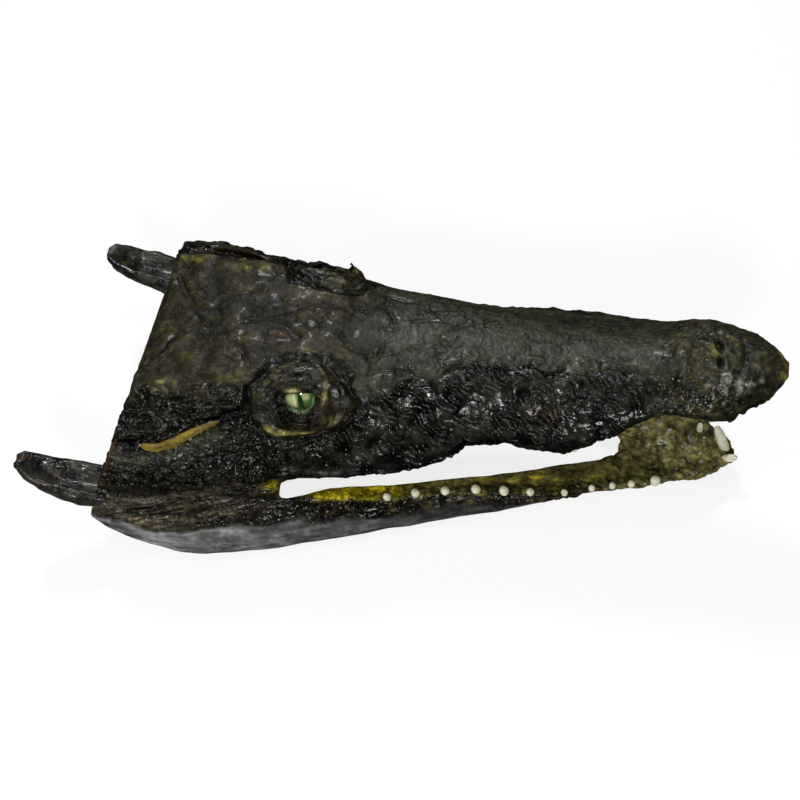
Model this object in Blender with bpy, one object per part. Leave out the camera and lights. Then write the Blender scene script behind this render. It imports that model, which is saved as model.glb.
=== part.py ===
"""Preserved crocodile head with its skin on, mouth ajar, lying on its lower jaw.

Blender 4.5. Sizes are millimetres in the tables and metres in the scene: MM turns one
into the other. +X runs to the snout, +Y to the head's left, +Z up, floor at Z = 0.
The upper head is modelled level, with its lip line at Z = 0 and the rear edge of the
skull table at X = 0, and is then hung from the jaw joint and tipped up by the gape.
"""

import math

import bmesh
import bpy
from mathutils import Matrix, Vector

MM = 0.001

# Driving dimensions
HEAD_LENGTH = 373.0  # rear edge of the skull table to the snout tip
GAPE_PITCH = 7.8  # degrees that the upper lip line rises from the floor
JAW_SKEW = 0.5  # degrees that the lower jaw has dried askew, about JAW_MIDDLE
JAW_MIDDLE = (130.0, 0.0, 0.0)
JOINT = (-29.6, 0.0, 55.0)  # middle of the jaw joint, above the floor
JOINT_IN_SKULL = (-29.6, 0.0, 11.0)  # the same point in the level upper head
PART_GAP = 0.3  # thin cut between neighbouring pieces
JAW_GAP = 0.6  # cut between the cheeks and the lower jaw
STATION_STEP = 12.0  # spacing of the cross-sections
BLOCK_HALF = 100.0  # half the edge of a cutting block, larger than any piece it cuts

# The skin is cut off behind along one slanting plane: (X, height) of one point, and lean
SKULL_CUT = (-7.0, 66.0)
SKULL_CUT_LEAN = 0.64  # how far the cut moves back for each millimetre down
JAW_CUT = (-42.0, 52.0)
JAW_CUT_LEAN = 0.48
CUT_REACH = 60.0  # ahead of the cut the sections stand upright again

# Ends of the pieces of the upper head, along X
CRANIUM_END = 132.0
SNOUT_END = 305.0
RICTUS = 72.0  # mouth corner
CHEEK_INSIDE = 57.0  # the cheeks lie outside this distance from the middle

# Upper head, each as (X, value)
CREST_Z = ((-8, 62), (10, 64), (40, 66), (96, 63), (130, 54), (170, 46), (210, 40), (250, 34),
           (298, 31), (322, 36), (340, 37), (352, 35), (362, 32), (373, 21))
RIDGE_Y = ((-8, 52), (10, 51), (40, 46), (70, 44), (96, 43), (119, 40), (132, 38), (153, 36),
           (184, 31), (202, 27), (250, 22), (298, 20), (325, 22), (345, 19), (360, 13), (373, 3))
RIDGE_Z = ((-8, 64), (10, 65), (40, 65), (70, 62), (96, 59), (119, 51), (132, 47), (153, 44),
           (184, 40), (202, 37), (250, 31), (298, 27), (325, 32), (345, 31), (360, 28), (373, 18))
LIP_Y = ((-8, 96), (10, 97), (40, 90), (68, 84), (76, 78), (104, 74), (147, 67), (172, 60), (188, 53),
         (212, 50), (244, 51), (266, 46), (279, 40), (298, 32), (308, 29), (320, 30), (338, 29), (347, 23),
         (356, 18), (364, 13), (373, 3))
LIP_Z = ((76, -3), (105, -5), (148, -7), (172, -6), (188, 0), (212, 0), (234, -4), (246, -6),
         (256, -4), (272, 1), (289, 5), (307, 8), (320, 4), (338, -1), (356, 1), (366, 4), (373, 10))
SIDE_BULGE = ((-8, 11), (20, 12), (68, 12), (96, 8), (119, 4), (153, 3), (184, 3), (202, 5), (240, 9),
              (270, 8), (298, 9), (325, 9), (345, 7), (373, 3))
SIDE_SWAY = ((-8, 5), (40, 4), (90, 2), (140, 0), (373, 0))
PALATE_RISE = 5.0  # palate above the lip
LIP_WIDTH = 7.0
LIP_ROUND = 3.0
NARROWEST_PALATE = 0.4  # of the lip's own distance from the middle
TOP_STEPS = 3
SIDE_STEPS = 6
PALATE_STEPS = 2

# Lower jaw on the floor, each as (X, value)
JAW_TOP_Y = ((-42, 94), (-20, 97), (0, 96), (24, 92), (55, 85), (84, 80), (100, 75), (138, 68),
             (154, 62), (172, 57), (190, 53), (225, 50), (245, 48), (267, 40), (287, 36), (301, 32),
             (311, 28), (327, 24), (336, 18), (344, 11), (348, 7), (350, 4))
JAW_BASE_Y = ((-42, 102), (-30, 105), (-5, 109), (15, 110), (24, 109), (53, 103), (84, 94), (115, 85),
              (145, 75), (176, 65), (206, 56), (237, 44), (267, 31), (287, 25), (298, 21), (311, 18),
              (327, 14), (340, 7), (347, 4), (350, 2))
JAW_IN_Y = ((-42, 70), (20, 72), (60, 76), (73, 76), (83, 72), (100, 63), (135, 54), (167, 44), (204, 34),
            (241, 23), (264, 16), (272, 12), (278, 8))
JAW_TOP_Z = ((-42, 52), (0, 51), (40, 47), (72, 42), (100, 37), (138, 31), (170, 27), (209, 25), (302, 24),
             (335, 23), (350, 17))
JAW_BASE_Z = ((-42, 26), (-30, 15), (-12, 7), (0, 2), (12, 0), (75, 0), (110, 2), (209, 4), (265, 1),
              (280, 0), (332, 0), (350, 8))
JAW_END = 276.0
CHIN_END = 350.0
# Outer face of the jaw's section:
# (share of the way from top edge to base edge, outward step, height share)
JAW_OUTSIDE = ((0.0, -2.0, 1.0), (0.0, 0.0, 0.94), (0.4, 1.0, 0.65), (0.8, 1.5, 0.4), (1.0, 0.0, 0.2),
               (1.0, -3.0, 0.06), (1.0, -9.0, 0.0))
# Inner face: (step outwards from the inner edge, height share), upwards
JAW_INSIDE = ((1.0, 0.2), (0.0, 0.7), (0.8, 0.95), (3.0, 1.0))
JAW_FLAT_WIDTH = 5.0  # least width of the flat that it lies on
# Chin's half section, from the middle of the top round to the middle of the base:
# (share from top edge to base edge, share of that half width, height share)
CHIN_SECTION = ((0.0, 0.0, 0.89), (0.0, 0.5, 0.91), (0.0, 0.9, 1.0), (0.0, 1.0, 0.88), (0.5, 1.0, 0.45),
                (1.0, 1.0, 0.12), (1.0, 0.75, 0.0), (1.0, 0.35, 0.0), (1.0, 0.0, 0.0))

# Eyes and lids, in the level upper head
EYE_CENTRE = (93.0, 38.0, 42.0)
EYE_RADIUS = 13.0
UPPER_LID = ((92.0, 36.0, 41.0), (26.0, 19.0, 19.5))  # centre and radii
LOWER_LID = ((93.0, 43.0, 37.0), (25.0, 22.0, 19.0))
LID_SLIT_RADII = (11.5, 16.0, 8.5)
LID_SLIT_TILT = 30.0  # degrees that the eye looks up

# Ear flaps: middle of the right one, its half length, thickness and width, and the way it runs
EAR_FLAP_MIDDLE = (23.0, 72.5, 43.5)
EAR_FLAP_RADII = (25.0, 2.6, 3.6)
EAR_FLAP_RUN = (44.0, -15.0, 3.0)
EAR_FLAP_TILT = 40.0
EAR_FACES = (12, 8)  # round it and along it

# Back of the skull, in the hollow that the cut skin leaves
HOLLOW_HALF_WIDTH = 50.0
HOLLOW_DEPTH = 12.0
HOLLOW_RIM = 7.0  # thickness left above and below it
# Half section of the hollow: (share of its half width, step in from its top, or from its base if negative)
HOLLOW_SECTION = ((0.0, 0.0), (0.6, 0.0), (1.0, 12.0), (1.0, -9.0), (0.8, -0.001), (0.0, -0.001))
BACK_PLATE_INSET = 5.0  # from the cut to the bone
CONDYLE_CENTRE = (-21.0, 0.0, 31.5)
CONDYLE_RADIUS = 6.5
NECK_HOLE_CENTRE = (-15.0, 0.0, 45.0)
NECK_HOLE_RADII = (5.0, 9.0, 6.0)

# Nostril disc
NOSTRIL_CENTRE = (333.0, 0.0, 35.0)
NOSTRIL_RADII = (16.0, 14.5)
NOSTRIL_THICKNESS = 6.0
NOSTRIL_HOLE_PLACE = (2.0, 5.0)  # ahead of the disc's middle, and to each side
NOSTRIL_HOLE_RADII = (2.0, 3.5, 5.0)

# Teeth of one side of the lower jaw: (X, base radius, height)
JAW_TEETH = ((137, 2.4, 4), (154, 2.6, 5), (172, 2.6, 5), (190, 2.8, 5), (207, 2.8, 5), (225, 2.4, 5),
             (244, 2.3, 5), (261, 2.3, 5))
CHIN_TEETH = ((285, 2.4, 5), (301, 3.4, 8), (318, 2.2, 5), (331, 2.4, 5))
# Foremost pair: (side, X, distance from the middle, base radius, height, way it points)
# The left one stands tall, the right one is worn down and points ahead
FRONT_TEETH = ((1, 342, 5.0, 3.2, 20, (-0.35, 0.1, 1.0)), (-1, 344, 4.0, 2.6, 6, (0.9, -0.1, 0.5)))
TOOTH_INSET = 4.0  # tooth line inside the jaw's outer face
SNOUT_TEETH = ((140, 2.4, 6), (156, 2.6, 6), (172, 2.6, 6), (188, 2.4, 6), (204, 2.4, 6), (220, 2.6, 7),
               (235, 3.0, 8), (251, 3.6, 9), (266, 2.8, 7), (280, 2.4, 6))
NOSE_TEETH = ((316, 2.2, 5), (327, 2.8, 7), (338, 2.8, 7), (349, 2.2, 5))
TOOTH_SIDES = 5
TOOTH_TIP = 0.3  # of its base radius
TOOTH_BURIED = 1.0  # foot below the gum, three times that for the front and the upper teeth

# Bare end of each lower jaw bone behind the skin: (X, middle Y, width, underside Z, top Z, groove depth)
# The left one is the shorter and stands further out: (side, word, length factor, outward shift)
BONE_SIDES = ((-1, "right", 1.05, 0.0), (1, "left", 0.90, 0.5))
BONE_RINGS = ((-43, 85, 28, 30, 50, 3), (-55, 87, 28, 31, 56, 6), (-68, 87, 25, 36, 59, 6),
              (-78, 87, 22, 42, 64, 5), (-87, 86, 17, 49, 70, 3), (-92, 86, 10, 55, 69, 1))


def track(stations):
    """A smooth curve through (x, value) pairs that never overshoots them."""
    xs = [float(x) for x, _ in stations]
    ys = [float(y) for _, y in stations]
    slopes = [(ys[i + 1] - ys[i]) / (xs[i + 1] - xs[i]) for i in range(len(xs) - 1)]
    tangents = [slopes[0]]
    for before, after in zip(slopes, slopes[1:]):
        flat = before * after <= 0
        tangents.append(0.0 if flat else 2 * before * after / (before + after))
    tangents.append(slopes[-1])

    def at(x):
        x = min(max(x, xs[0]), xs[-1])
        i = max(k for k in range(len(xs) - 1) if xs[k] <= x)
        span = xs[i + 1] - xs[i]
        t = (x - xs[i]) / span
        return (
            (2 * t**3 - 3 * t**2 + 1) * ys[i]
            + (t**3 - 2 * t**2 + t) * span * tangents[i]
            + (3 * t**2 - 2 * t**3) * ys[i + 1]
            + (t**3 - t**2) * span * tangents[i + 1]
        )

    return at


crest_z, ridge_y, ridge_z = track(CREST_Z), track(RIDGE_Y), track(RIDGE_Z)
lip_y, lip_z_front = track(LIP_Y), track(LIP_Z)
side_bulge, side_sway = track(SIDE_BULGE), track(SIDE_SWAY)
jaw_top_y, jaw_base_y, jaw_in_y = track(JAW_TOP_Y), track(JAW_BASE_Y), track(JAW_IN_Y)
jaw_top_z, jaw_base_z = track(JAW_TOP_Z), track(JAW_BASE_Z)


def clear_scene():
    for obj in list(bpy.data.objects):
        bpy.data.objects.remove(obj)


def material(name, colour, roughness, metallic=0.0):
    made = bpy.data.materials.new(name)
    made.use_nodes = True
    shader = made.node_tree.nodes["Principled BSDF"]
    shader.inputs["Base Color"].default_value = (*colour, 1.0)
    shader.inputs["Roughness"].default_value = roughness
    shader.inputs["Metallic"].default_value = metallic
    return made


def moved(place):
    return Matrix.Translation(Vector(place) * MM)


def object_from(bm, name, look, parent):
    bmesh.ops.recalc_face_normals(bm, faces=bm.faces)
    mesh = bpy.data.meshes.new(name)
    bm.to_mesh(mesh)
    bm.free()
    mesh.shade_smooth()
    mesh.set_sharp_from_angle(angle=math.radians(50))
    mesh.materials.append(look)
    obj = bpy.data.objects.new(name, mesh)
    bpy.context.scene.collection.objects.link(obj)
    obj.parent = parent
    return obj


def loft(name, rings, look, parent):
    """A closed body through rings of points that all hold the same count."""
    bm = bmesh.new()
    made = [[bm.verts.new(Vector(point) * MM) for point in ring] for ring in rings]
    for back, front in zip(made, made[1:]):
        for i in range(len(back)):
            bm.faces.new((back[i - 1], back[i], front[i], front[i - 1]))
    bm.faces.new(made[0])
    bm.faces.new(made[-1])
    return object_from(bm, name, look, parent)


def ellipsoid(name, centre, radii, look, parent, turn=0.0, run=(1, 0, 0), segments=14, rings=9):
    """An ellipsoid turned about X by turn degrees, whose X radius then points along run."""
    bm = bmesh.new()
    bmesh.ops.create_uvsphere(bm, u_segments=segments, v_segments=rings, radius=1.0)
    shape = Matrix.Diagonal((*[r * MM for r in radii], 1.0))
    tilt = Matrix.Rotation(math.radians(turn), 4, "X")
    aim = Vector((1, 0, 0)).rotation_difference(Vector(run)).to_matrix().to_4x4()
    bm.transform(moved(centre) @ aim @ tilt @ shape)
    return object_from(bm, name, look, parent)


def as_cutter(obj):
    obj.hide_render = True
    obj.display_type = "WIRE"
    return obj


def boolean(target, operand, operation="DIFFERENCE"):
    modifier = target.modifiers.new(operation.lower(), "BOOLEAN")
    modifier.operation = operation
    modifier.solver = "EXACT"
    modifier.object = as_cutter(operand)
    return modifier


def stations(start, end):
    count = max(2, math.ceil((end - start) / STATION_STEP))
    return [start + (end - start) * i / count for i in range(count + 1)]


def skull_to_floor(x, z):
    """A point of the level upper head, carried to its place over the lower jaw."""
    turn = math.radians(GAPE_PITCH)
    dx, dz = x - JOINT_IN_SKULL[0], z - JOINT_IN_SKULL[2]
    floor_x = JOINT[0] + dx * math.cos(turn) - dz * math.sin(turn)
    floor_z = JOINT[2] + dx * math.sin(turn) + dz * math.cos(turn)
    return floor_x, floor_z


def fan_weight(x, cut):
    return max(0.0, 1.0 - (x - cut[0]) / CUT_REACH)


def leaned(points, x, cut, lean):
    """Moves a section near the rear cut so that the sections fan into the slanting plane."""
    weight = fan_weight(x, cut)
    return [(x - weight * lean * (cut[1] - z), y, z) for y, z in points]


def cheek_base_z(x):
    """Height in the level upper head that lands just above the lower jaw's top edge."""
    z = 0.0
    for _ in range(12):
        leaned_x = x - fan_weight(x, SKULL_CUT) * SKULL_CUT_LEAN * (SKULL_CUT[1] - z)
        floor_x, floor_z = skull_to_floor(leaned_x, z)
        z += jaw_top_z(floor_x) + JAW_GAP - floor_z
    return z


def lip_z(x):
    return lip_z_front(x) if x > RICTUS else cheek_base_z(x)


def mirrored(half):
    """A closed ring from points that run from the top middle to the bottom middle."""
    return half + [(x, -y, z) for x, y, z in reversed(half[1:-1])]


def upper_ring(x):
    top, edge_y, edge_z = crest_z(x), ridge_y(x), ridge_z(x)
    out_y, base = lip_y(x), lip_z(x)
    half = []
    for i in range(TOP_STEPS):
        t = i / TOP_STEPS
        half.append((edge_y * t, top + (edge_z - top) * t * t))
    for i in range(SIDE_STEPS + 1):
        s = i / SIDE_STEPS
        swell = side_bulge(x) * math.sin(math.pi * s) - side_sway(x) * math.sin(2 * math.pi * s)
        half.append((edge_y + (out_y - edge_y) * s + swell, edge_z + (base + LIP_ROUND - edge_z) * s))
    inner = max(out_y - LIP_WIDTH, out_y * NARROWEST_PALATE)
    half.append(((out_y + inner) / 2 + 1.0, base))
    half.append((inner, base + 1.0))
    for i in range(1, PALATE_STEPS + 1):
        half.append(((inner - 1.0) * (1 - i / PALATE_STEPS), base + PALATE_RISE))
    return mirrored(leaned(half, x, SKULL_CUT, SKULL_CUT_LEAN))


def upper_stations(start, end):
    found = stations(start, end)
    if start < RICTUS < end:
        found = [x for x in found if abs(x - RICTUS) > STATION_STEP / 2] + [RICTUS - 1.0, RICTUS + 1.5]
    if end > HEAD_LENGTH - 1:
        found += [HEAD_LENGTH - 12, HEAD_LENGTH - 5, HEAD_LENGTH - 2]
    return sorted(set(found))


def upper_piece(name, start, end, look, parent):
    return loft(name, [upper_ring(x) for x in upper_stations(start, end)], look, parent)


def jaw_ring(x, side):
    top_y, base_y, in_y = jaw_top_y(x), jaw_base_y(x), jaw_in_y(x)
    top, base = jaw_top_z(x), jaw_base_z(x)
    points = []
    for share, step, level in JAW_OUTSIDE:
        points.append((top_y + (base_y - top_y) * share + step, base + (top - base) * level))
    flat_edge = base_y + JAW_OUTSIDE[-1][1] - JAW_FLAT_WIDTH
    points.append((min(in_y + 6.0, flat_edge), base))
    for step, level in JAW_INSIDE:
        points.append((in_y + step, base + (top - base) * level))
    return [(x, side * y, z) for x, y, z in leaned(points, x, JAW_CUT, JAW_CUT_LEAN)]


def chin_ring(x):
    top_y, base_y, top, base = jaw_top_y(x), jaw_base_y(x), jaw_top_z(x), jaw_base_z(x)
    half = []
    for share, width, level in CHIN_SECTION:
        half.append((x, (top_y + (base_y - top_y) * share) * width, base + (top - base) * level))
    return mirrored(half)


def tooth_cone(bm, foot, radius, height, lean):
    """One tooth: a tapered cone rooted below its foot, leaning by the vector lean."""
    tip = bmesh.ops.create_cone(
        bm,
        cap_ends=True,
        segments=TOOTH_SIDES,
        radius1=radius * MM,
        radius2=radius * TOOTH_TIP * MM,
        depth=(height + radius) * MM,
    )
    turn = Vector((0, 0, 1)).rotation_difference(Vector(lean).normalized()).to_matrix().to_4x4()
    lift = Matrix.Translation((0, 0, (height - radius) / 2 * MM))
    bmesh.ops.transform(bm, matrix=moved(foot) @ turn @ lift, verts=tip["verts"])


def add_teeth(jaw, placed, parent):
    """Teeth joined to the bone they grow from: placed holds (foot, radius, height, lean)."""
    bm = bmesh.new()
    for foot, radius, height, lean in placed:
        tooth_cone(bm, foot, radius, height, lean)
    roots = object_from(bm, jaw.name + "_tooth_row", jaw.data.materials[0], parent)
    boolean(jaw, roots, "UNION")


def build_lower_jaw(looks, jaw):
    for side, word in ((-1, "right"), (1, "left")):
        rings = [jaw_ring(x, side) for x in stations(JAW_CUT[0], JAW_END)]
        ramus = loft(f"jaw_{word}", rings, looks["skin"], jaw)
        feet = []
        for x, r, h in JAW_TEETH:
            foot = (x, side * (jaw_top_y(x) - TOOTH_INSET), jaw_top_z(x) - TOOTH_BURIED)
            feet.append((foot, r, h, (0, side * 0.25, 1)))
        add_teeth(ramus, feet, jaw)
    chin_stations = stations(JAW_END + PART_GAP, CHIN_END - 6.0) + [CHIN_END - 2.0, CHIN_END]
    chin = loft("chin", [chin_ring(x) for x in chin_stations], looks["skin"], jaw)
    feet = []
    for side in (-1, 1):
        for x, r, h in CHIN_TEETH:
            foot = (x, side * (jaw_top_y(x) - TOOTH_INSET), jaw_top_z(x) - TOOTH_BURIED)
            feet.append((foot, r, h, (0.1, side * 0.3, 1)))
    for side, x, y, r, h, lean in FRONT_TEETH:
        feet.append(((x, side * y, jaw_top_z(x) - 3 * TOOTH_BURIED), r, h, lean))
    add_teeth(chin, feet, jaw)


def bone_ring(x, middle, width, base, top, groove, side):
    half = width / 2
    points = (
        (half, top - 2),
        (half * 0.7, top),
        (half * 0.3, top - groove * 0.7),
        (0, top - groove),
        (-half * 0.35, top - groove * 0.7),
        (-half * 0.7, top),
        (-half, top - 3),
        (-half * 0.85, base + 0.35 * (top - base)),
        (-half * 0.4, base),
        (half * 0.4, base),
        (half * 0.9, base + 0.35 * (top - base)),
    )
    lean = JAW_CUT_LEAN if x > JAW_CUT[0] - 5 else 0.0
    return [(x - lean * (JAW_CUT[1] - z), side * (middle + y), z) for y, z in points]


def build_jaw_bone_ends(looks, jaw):
    for side, word, stretch, shift in BONE_SIDES:
        rings = []
        start = BONE_RINGS[0][0]
        for x, middle, *rest in BONE_RINGS:
            rings.append(bone_ring(start + (x - start) * stretch, middle + shift, *rest, side))
        loft(f"jaw_bone_end_{word}", rings, looks["bone"], jaw)


def build_upper_head(looks, skull):
    rear = SKULL_CUT[0]
    cranium = upper_piece("cranium", rear, CRANIUM_END, looks["skin"], skull)
    for side, word in ((-1, "right"), (1, "left")):
        cheek = upper_piece(f"cheek_{word}", rear, CRANIUM_END, looks["skin"], skull)
        boolean(cheek, cheek_block(word, side, PART_GAP / 2, looks, skull), "INTERSECT")
        boolean(cranium, cheek_block(word, side, -PART_GAP / 2, looks, skull))
        build_ear_flap(cheek, side, word, looks, skull)
    build_skull_back(cranium, looks, skull)
    snout = upper_piece("snout", CRANIUM_END + PART_GAP, SNOUT_END, looks["skin"], skull)
    nose = upper_piece("nose", SNOUT_END + PART_GAP, HEAD_LENGTH, looks["skin"], skull)
    build_nostril_disc(nose, looks, skull)
    for jaw, teeth in ((snout, SNOUT_TEETH), (nose, NOSE_TEETH)):
        feet = []
        for side in (-1, 1):
            for x, r, h in teeth:
                foot = (x, side * (lip_y(x) - LIP_WIDTH + 0.5), lip_z(x) + 3 * TOOTH_BURIED)
                feet.append((foot, r, h, (0, side * 0.1, -1)))
        add_teeth(jaw, feet, skull)
    for side, word in ((-1, "right"), (1, "left")):
        build_eye(cranium, side, word, looks, skull)


def cheek_block(word, side, inset, looks, parent):
    """The space outside CHEEK_INSIDE and behind the mouth corner, made smaller by inset."""
    bm = bmesh.new()
    bmesh.ops.create_cube(bm, size=2 * BLOCK_HALF * MM)
    place = (RICTUS - inset - BLOCK_HALF, side * (CHEEK_INSIDE + inset + BLOCK_HALF), 0.0)
    bm.transform(moved(place))
    return object_from(bm, f"cheek_block_{word}_{inset > 0}", looks["skin"], parent)


def build_ear_flap(cheek, side, word, looks, skull):
    place = (EAR_FLAP_MIDDLE[0], side * EAR_FLAP_MIDDLE[1], EAR_FLAP_MIDDLE[2])
    run = (EAR_FLAP_RUN[0], side * EAR_FLAP_RUN[1], EAR_FLAP_RUN[2])
    tilt = -side * EAR_FLAP_TILT
    bed = [r + PART_GAP for r in EAR_FLAP_RADII]
    boolean(cheek, ellipsoid(f"ear_bed_{word}", place, bed, looks["skin"], skull, tilt, run, *EAR_FACES))
    ellipsoid(f"ear_flap_{word}", place, EAR_FLAP_RADII, looks["skin"], skull, tilt, run, *EAR_FACES)


def hollow_ring(x, shrink):
    """A section of the hollow behind the skull, made smaller all round by shrink."""
    reach = HOLLOW_HALF_WIDTH - shrink
    top = crest_z(x) - HOLLOW_RIM - shrink
    base = lip_z(x) + PALATE_RISE + HOLLOW_RIM + shrink
    half = [(reach * share, (top if step >= 0 else base) - step) for share, step in HOLLOW_SECTION]
    return mirrored(leaned(half, x, SKULL_CUT, SKULL_CUT_LEAN))


def build_skull_back(cranium, looks, skull):
    rear = SKULL_CUT[0]
    hollow_rings = [hollow_ring(x, 0.0) for x in (rear - BACK_PLATE_INSET, rear + HOLLOW_DEPTH)]
    boolean(cranium, loft("skull_hollow", hollow_rings, looks["bone"], skull))
    plate_ends = (rear + BACK_PLATE_INSET, rear + HOLLOW_DEPTH - PART_GAP)
    plate = loft("skull_back", [hollow_ring(x, PART_GAP) for x in plate_ends], looks["bone"], skull)
    condyle = ellipsoid("condyle", CONDYLE_CENTRE, [CONDYLE_RADIUS] * 3, looks["bone"], skull)
    boolean(plate, condyle, "UNION")
    boolean(plate, ellipsoid("neck_hole", NECK_HOLE_CENTRE, NECK_HOLE_RADII, looks["bone"], skull))


def build_nostril_disc(nose, looks, skull):
    sizes = (*NOSTRIL_RADII, NOSTRIL_THICKNESS)
    pocket_sizes = [r + PART_GAP for r in sizes]
    boolean(nose, ellipsoid("nostril_pocket", NOSTRIL_CENTRE, pocket_sizes, looks["skin"], skull))
    disc = ellipsoid("nostril_disc", NOSTRIL_CENTRE, sizes, looks["skin"], skull)
    for side in (-1, 1):
        ahead, aside = NOSTRIL_HOLE_PLACE
        place = (NOSTRIL_CENTRE[0] + ahead, side * aside, NOSTRIL_CENTRE[2] + NOSTRIL_THICKNESS)
        name = f"nostril_hole_{side}"
        hole = ellipsoid(name, place, NOSTRIL_HOLE_RADII, looks["skin"], skull, segments=8, rings=6)
        boolean(disc, hole)


def build_eye(cranium, side, word, looks, skull):
    eye_place = (EYE_CENTRE[0], side * EYE_CENTRE[1], EYE_CENTRE[2])
    eye_seat = ellipsoid(f"eye_seat_{word}", eye_place, [EYE_RADIUS + PART_GAP] * 3, looks["skin"], skull)
    look = math.radians(LID_SLIT_TILT)
    slit_place = (
        eye_place[0],
        eye_place[1] + side * EYE_RADIUS * math.cos(look),
        eye_place[2] + EYE_RADIUS * math.sin(look),
    )
    slit_tilt = side * LID_SLIT_TILT
    slit = ellipsoid(f"slit_{word}", slit_place, LID_SLIT_RADII, looks["skin"], skull, slit_tilt)
    for part, sign, (centre, radii) in (("upper_lid", 1, UPPER_LID), ("lower_lid", -1, LOWER_LID)):
        place = (centre[0], side * centre[1], centre[2])
        socket_radii = [r + PART_GAP for r in radii]
        boolean(cranium, ellipsoid(f"{part}_socket_{word}", place, socket_radii, looks["skin"], skull))
        lid = ellipsoid(f"{part}_{word}", place, radii, looks["skin"], skull)
        for cutter in (eye_seat, slit, lid_half_box(word, side, -sign, eye_place, looks, skull)):
            boolean(lid, cutter)
    ellipsoid(f"eye_{word}", eye_place, [EYE_RADIUS] * 3, looks["eye"], skull)


def lid_half_box(word, side, sign, eye_place, looks, skull):
    """A box that takes away what lies above (sign 1) or below (sign -1) the eye's slit."""
    bm = bmesh.new()
    bmesh.ops.create_cube(bm, size=2 * BLOCK_HALF * MM)
    tilt = Matrix.Rotation(math.radians(side * LID_SLIT_TILT), 4, "X")
    lift = Matrix.Translation((0, 0, sign * (BLOCK_HALF - PART_GAP / 2) * MM))
    bm.transform(moved(eye_place) @ tilt @ lift)
    return object_from(bm, f"lid_box_{word}_{sign}", looks["skin"], skull)


def stand_over_origin(head):
    """Moves the whole head so that the middle of its box is over the origin and its flats at Z = 0."""
    bpy.context.view_layer.update()
    graph = bpy.context.evaluated_depsgraph_get()
    corners = []
    for obj in bpy.context.scene.objects:
        if obj.type == "MESH" and not obj.hide_render:
            shape = obj.evaluated_get(graph)
            corners += [shape.matrix_world @ vertex.co for vertex in shape.data.vertices]
    low = Vector([min(c[i] for c in corners) for i in range(3)])
    high = Vector([max(c[i] for c in corners) for i in range(3)])
    head.location = (-(low.x + high.x) / 2, -(low.y + high.y) / 2, -low.z)


def main():
    clear_scene()
    looks = {
        "skin": material("varnished_skin", (0.03, 0.028, 0.02), 0.35),
        "bone": material("dark_bone", (0.05, 0.045, 0.035), 0.4),
        "eye": material("eye_glass", (0.10, 0.25, 0.05), 0.05),
    }
    head, skull, jaw = (bpy.data.objects.new(name, None) for name in ("head", "upper_head", "lower_jaw"))
    for empty in (head, skull, jaw):
        bpy.context.scene.collection.objects.link(empty)
    pitch = Matrix.Rotation(math.radians(-GAPE_PITCH), 4, "Y")
    skull.matrix_world = moved(JOINT) @ pitch @ moved(JOINT_IN_SKULL).inverted()
    skew = Matrix.Rotation(math.radians(JAW_SKEW), 4, "Z")
    jaw.matrix_world = moved(JAW_MIDDLE) @ skew @ moved(JAW_MIDDLE).inverted()
    skull.parent = jaw.parent = head
    build_upper_head(looks, skull)
    build_lower_jaw(looks, jaw)
    build_jaw_bone_ends(looks, jaw)
    stand_over_origin(head)


main()
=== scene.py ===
import math

import bpy
import numpy as np
from mathutils import Matrix, Vector, noise


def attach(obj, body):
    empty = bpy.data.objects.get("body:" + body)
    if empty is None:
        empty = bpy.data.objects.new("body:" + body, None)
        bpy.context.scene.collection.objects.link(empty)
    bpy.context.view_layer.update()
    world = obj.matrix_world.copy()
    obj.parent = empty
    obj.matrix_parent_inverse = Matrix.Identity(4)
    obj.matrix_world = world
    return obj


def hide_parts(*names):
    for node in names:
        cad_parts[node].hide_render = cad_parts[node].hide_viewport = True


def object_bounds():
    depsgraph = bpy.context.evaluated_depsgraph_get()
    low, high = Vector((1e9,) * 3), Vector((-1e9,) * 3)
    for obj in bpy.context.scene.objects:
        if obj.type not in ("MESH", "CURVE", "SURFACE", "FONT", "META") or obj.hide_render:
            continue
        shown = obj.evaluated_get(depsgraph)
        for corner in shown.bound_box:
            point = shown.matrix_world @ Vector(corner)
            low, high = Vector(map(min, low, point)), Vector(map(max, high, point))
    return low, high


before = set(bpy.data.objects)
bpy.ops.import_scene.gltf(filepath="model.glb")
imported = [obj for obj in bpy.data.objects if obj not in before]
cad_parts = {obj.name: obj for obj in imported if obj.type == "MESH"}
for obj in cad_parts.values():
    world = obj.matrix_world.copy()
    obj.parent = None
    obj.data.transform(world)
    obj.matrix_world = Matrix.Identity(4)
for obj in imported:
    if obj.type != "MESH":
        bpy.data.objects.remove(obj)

mm = 0.001
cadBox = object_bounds()
# The finished pieces stay this far inside the solids' box
boxLow, boxHigh = np.array(cadBox[0]) + 0.0002, np.array(cadBox[1]) - 0.0002

# The upper head stands tipped up by pitch, about origin: the middle of the skull table's rear edge at lip
# height. jawShift takes the lower jaw's own millimetres to the frame.
headPlace = {
    "origin": (-136.62, 0.99, 48.12),
    "pitch": 7.8,
    "jawShift": (-137.84, 0.99, 0.0),
}

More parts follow.
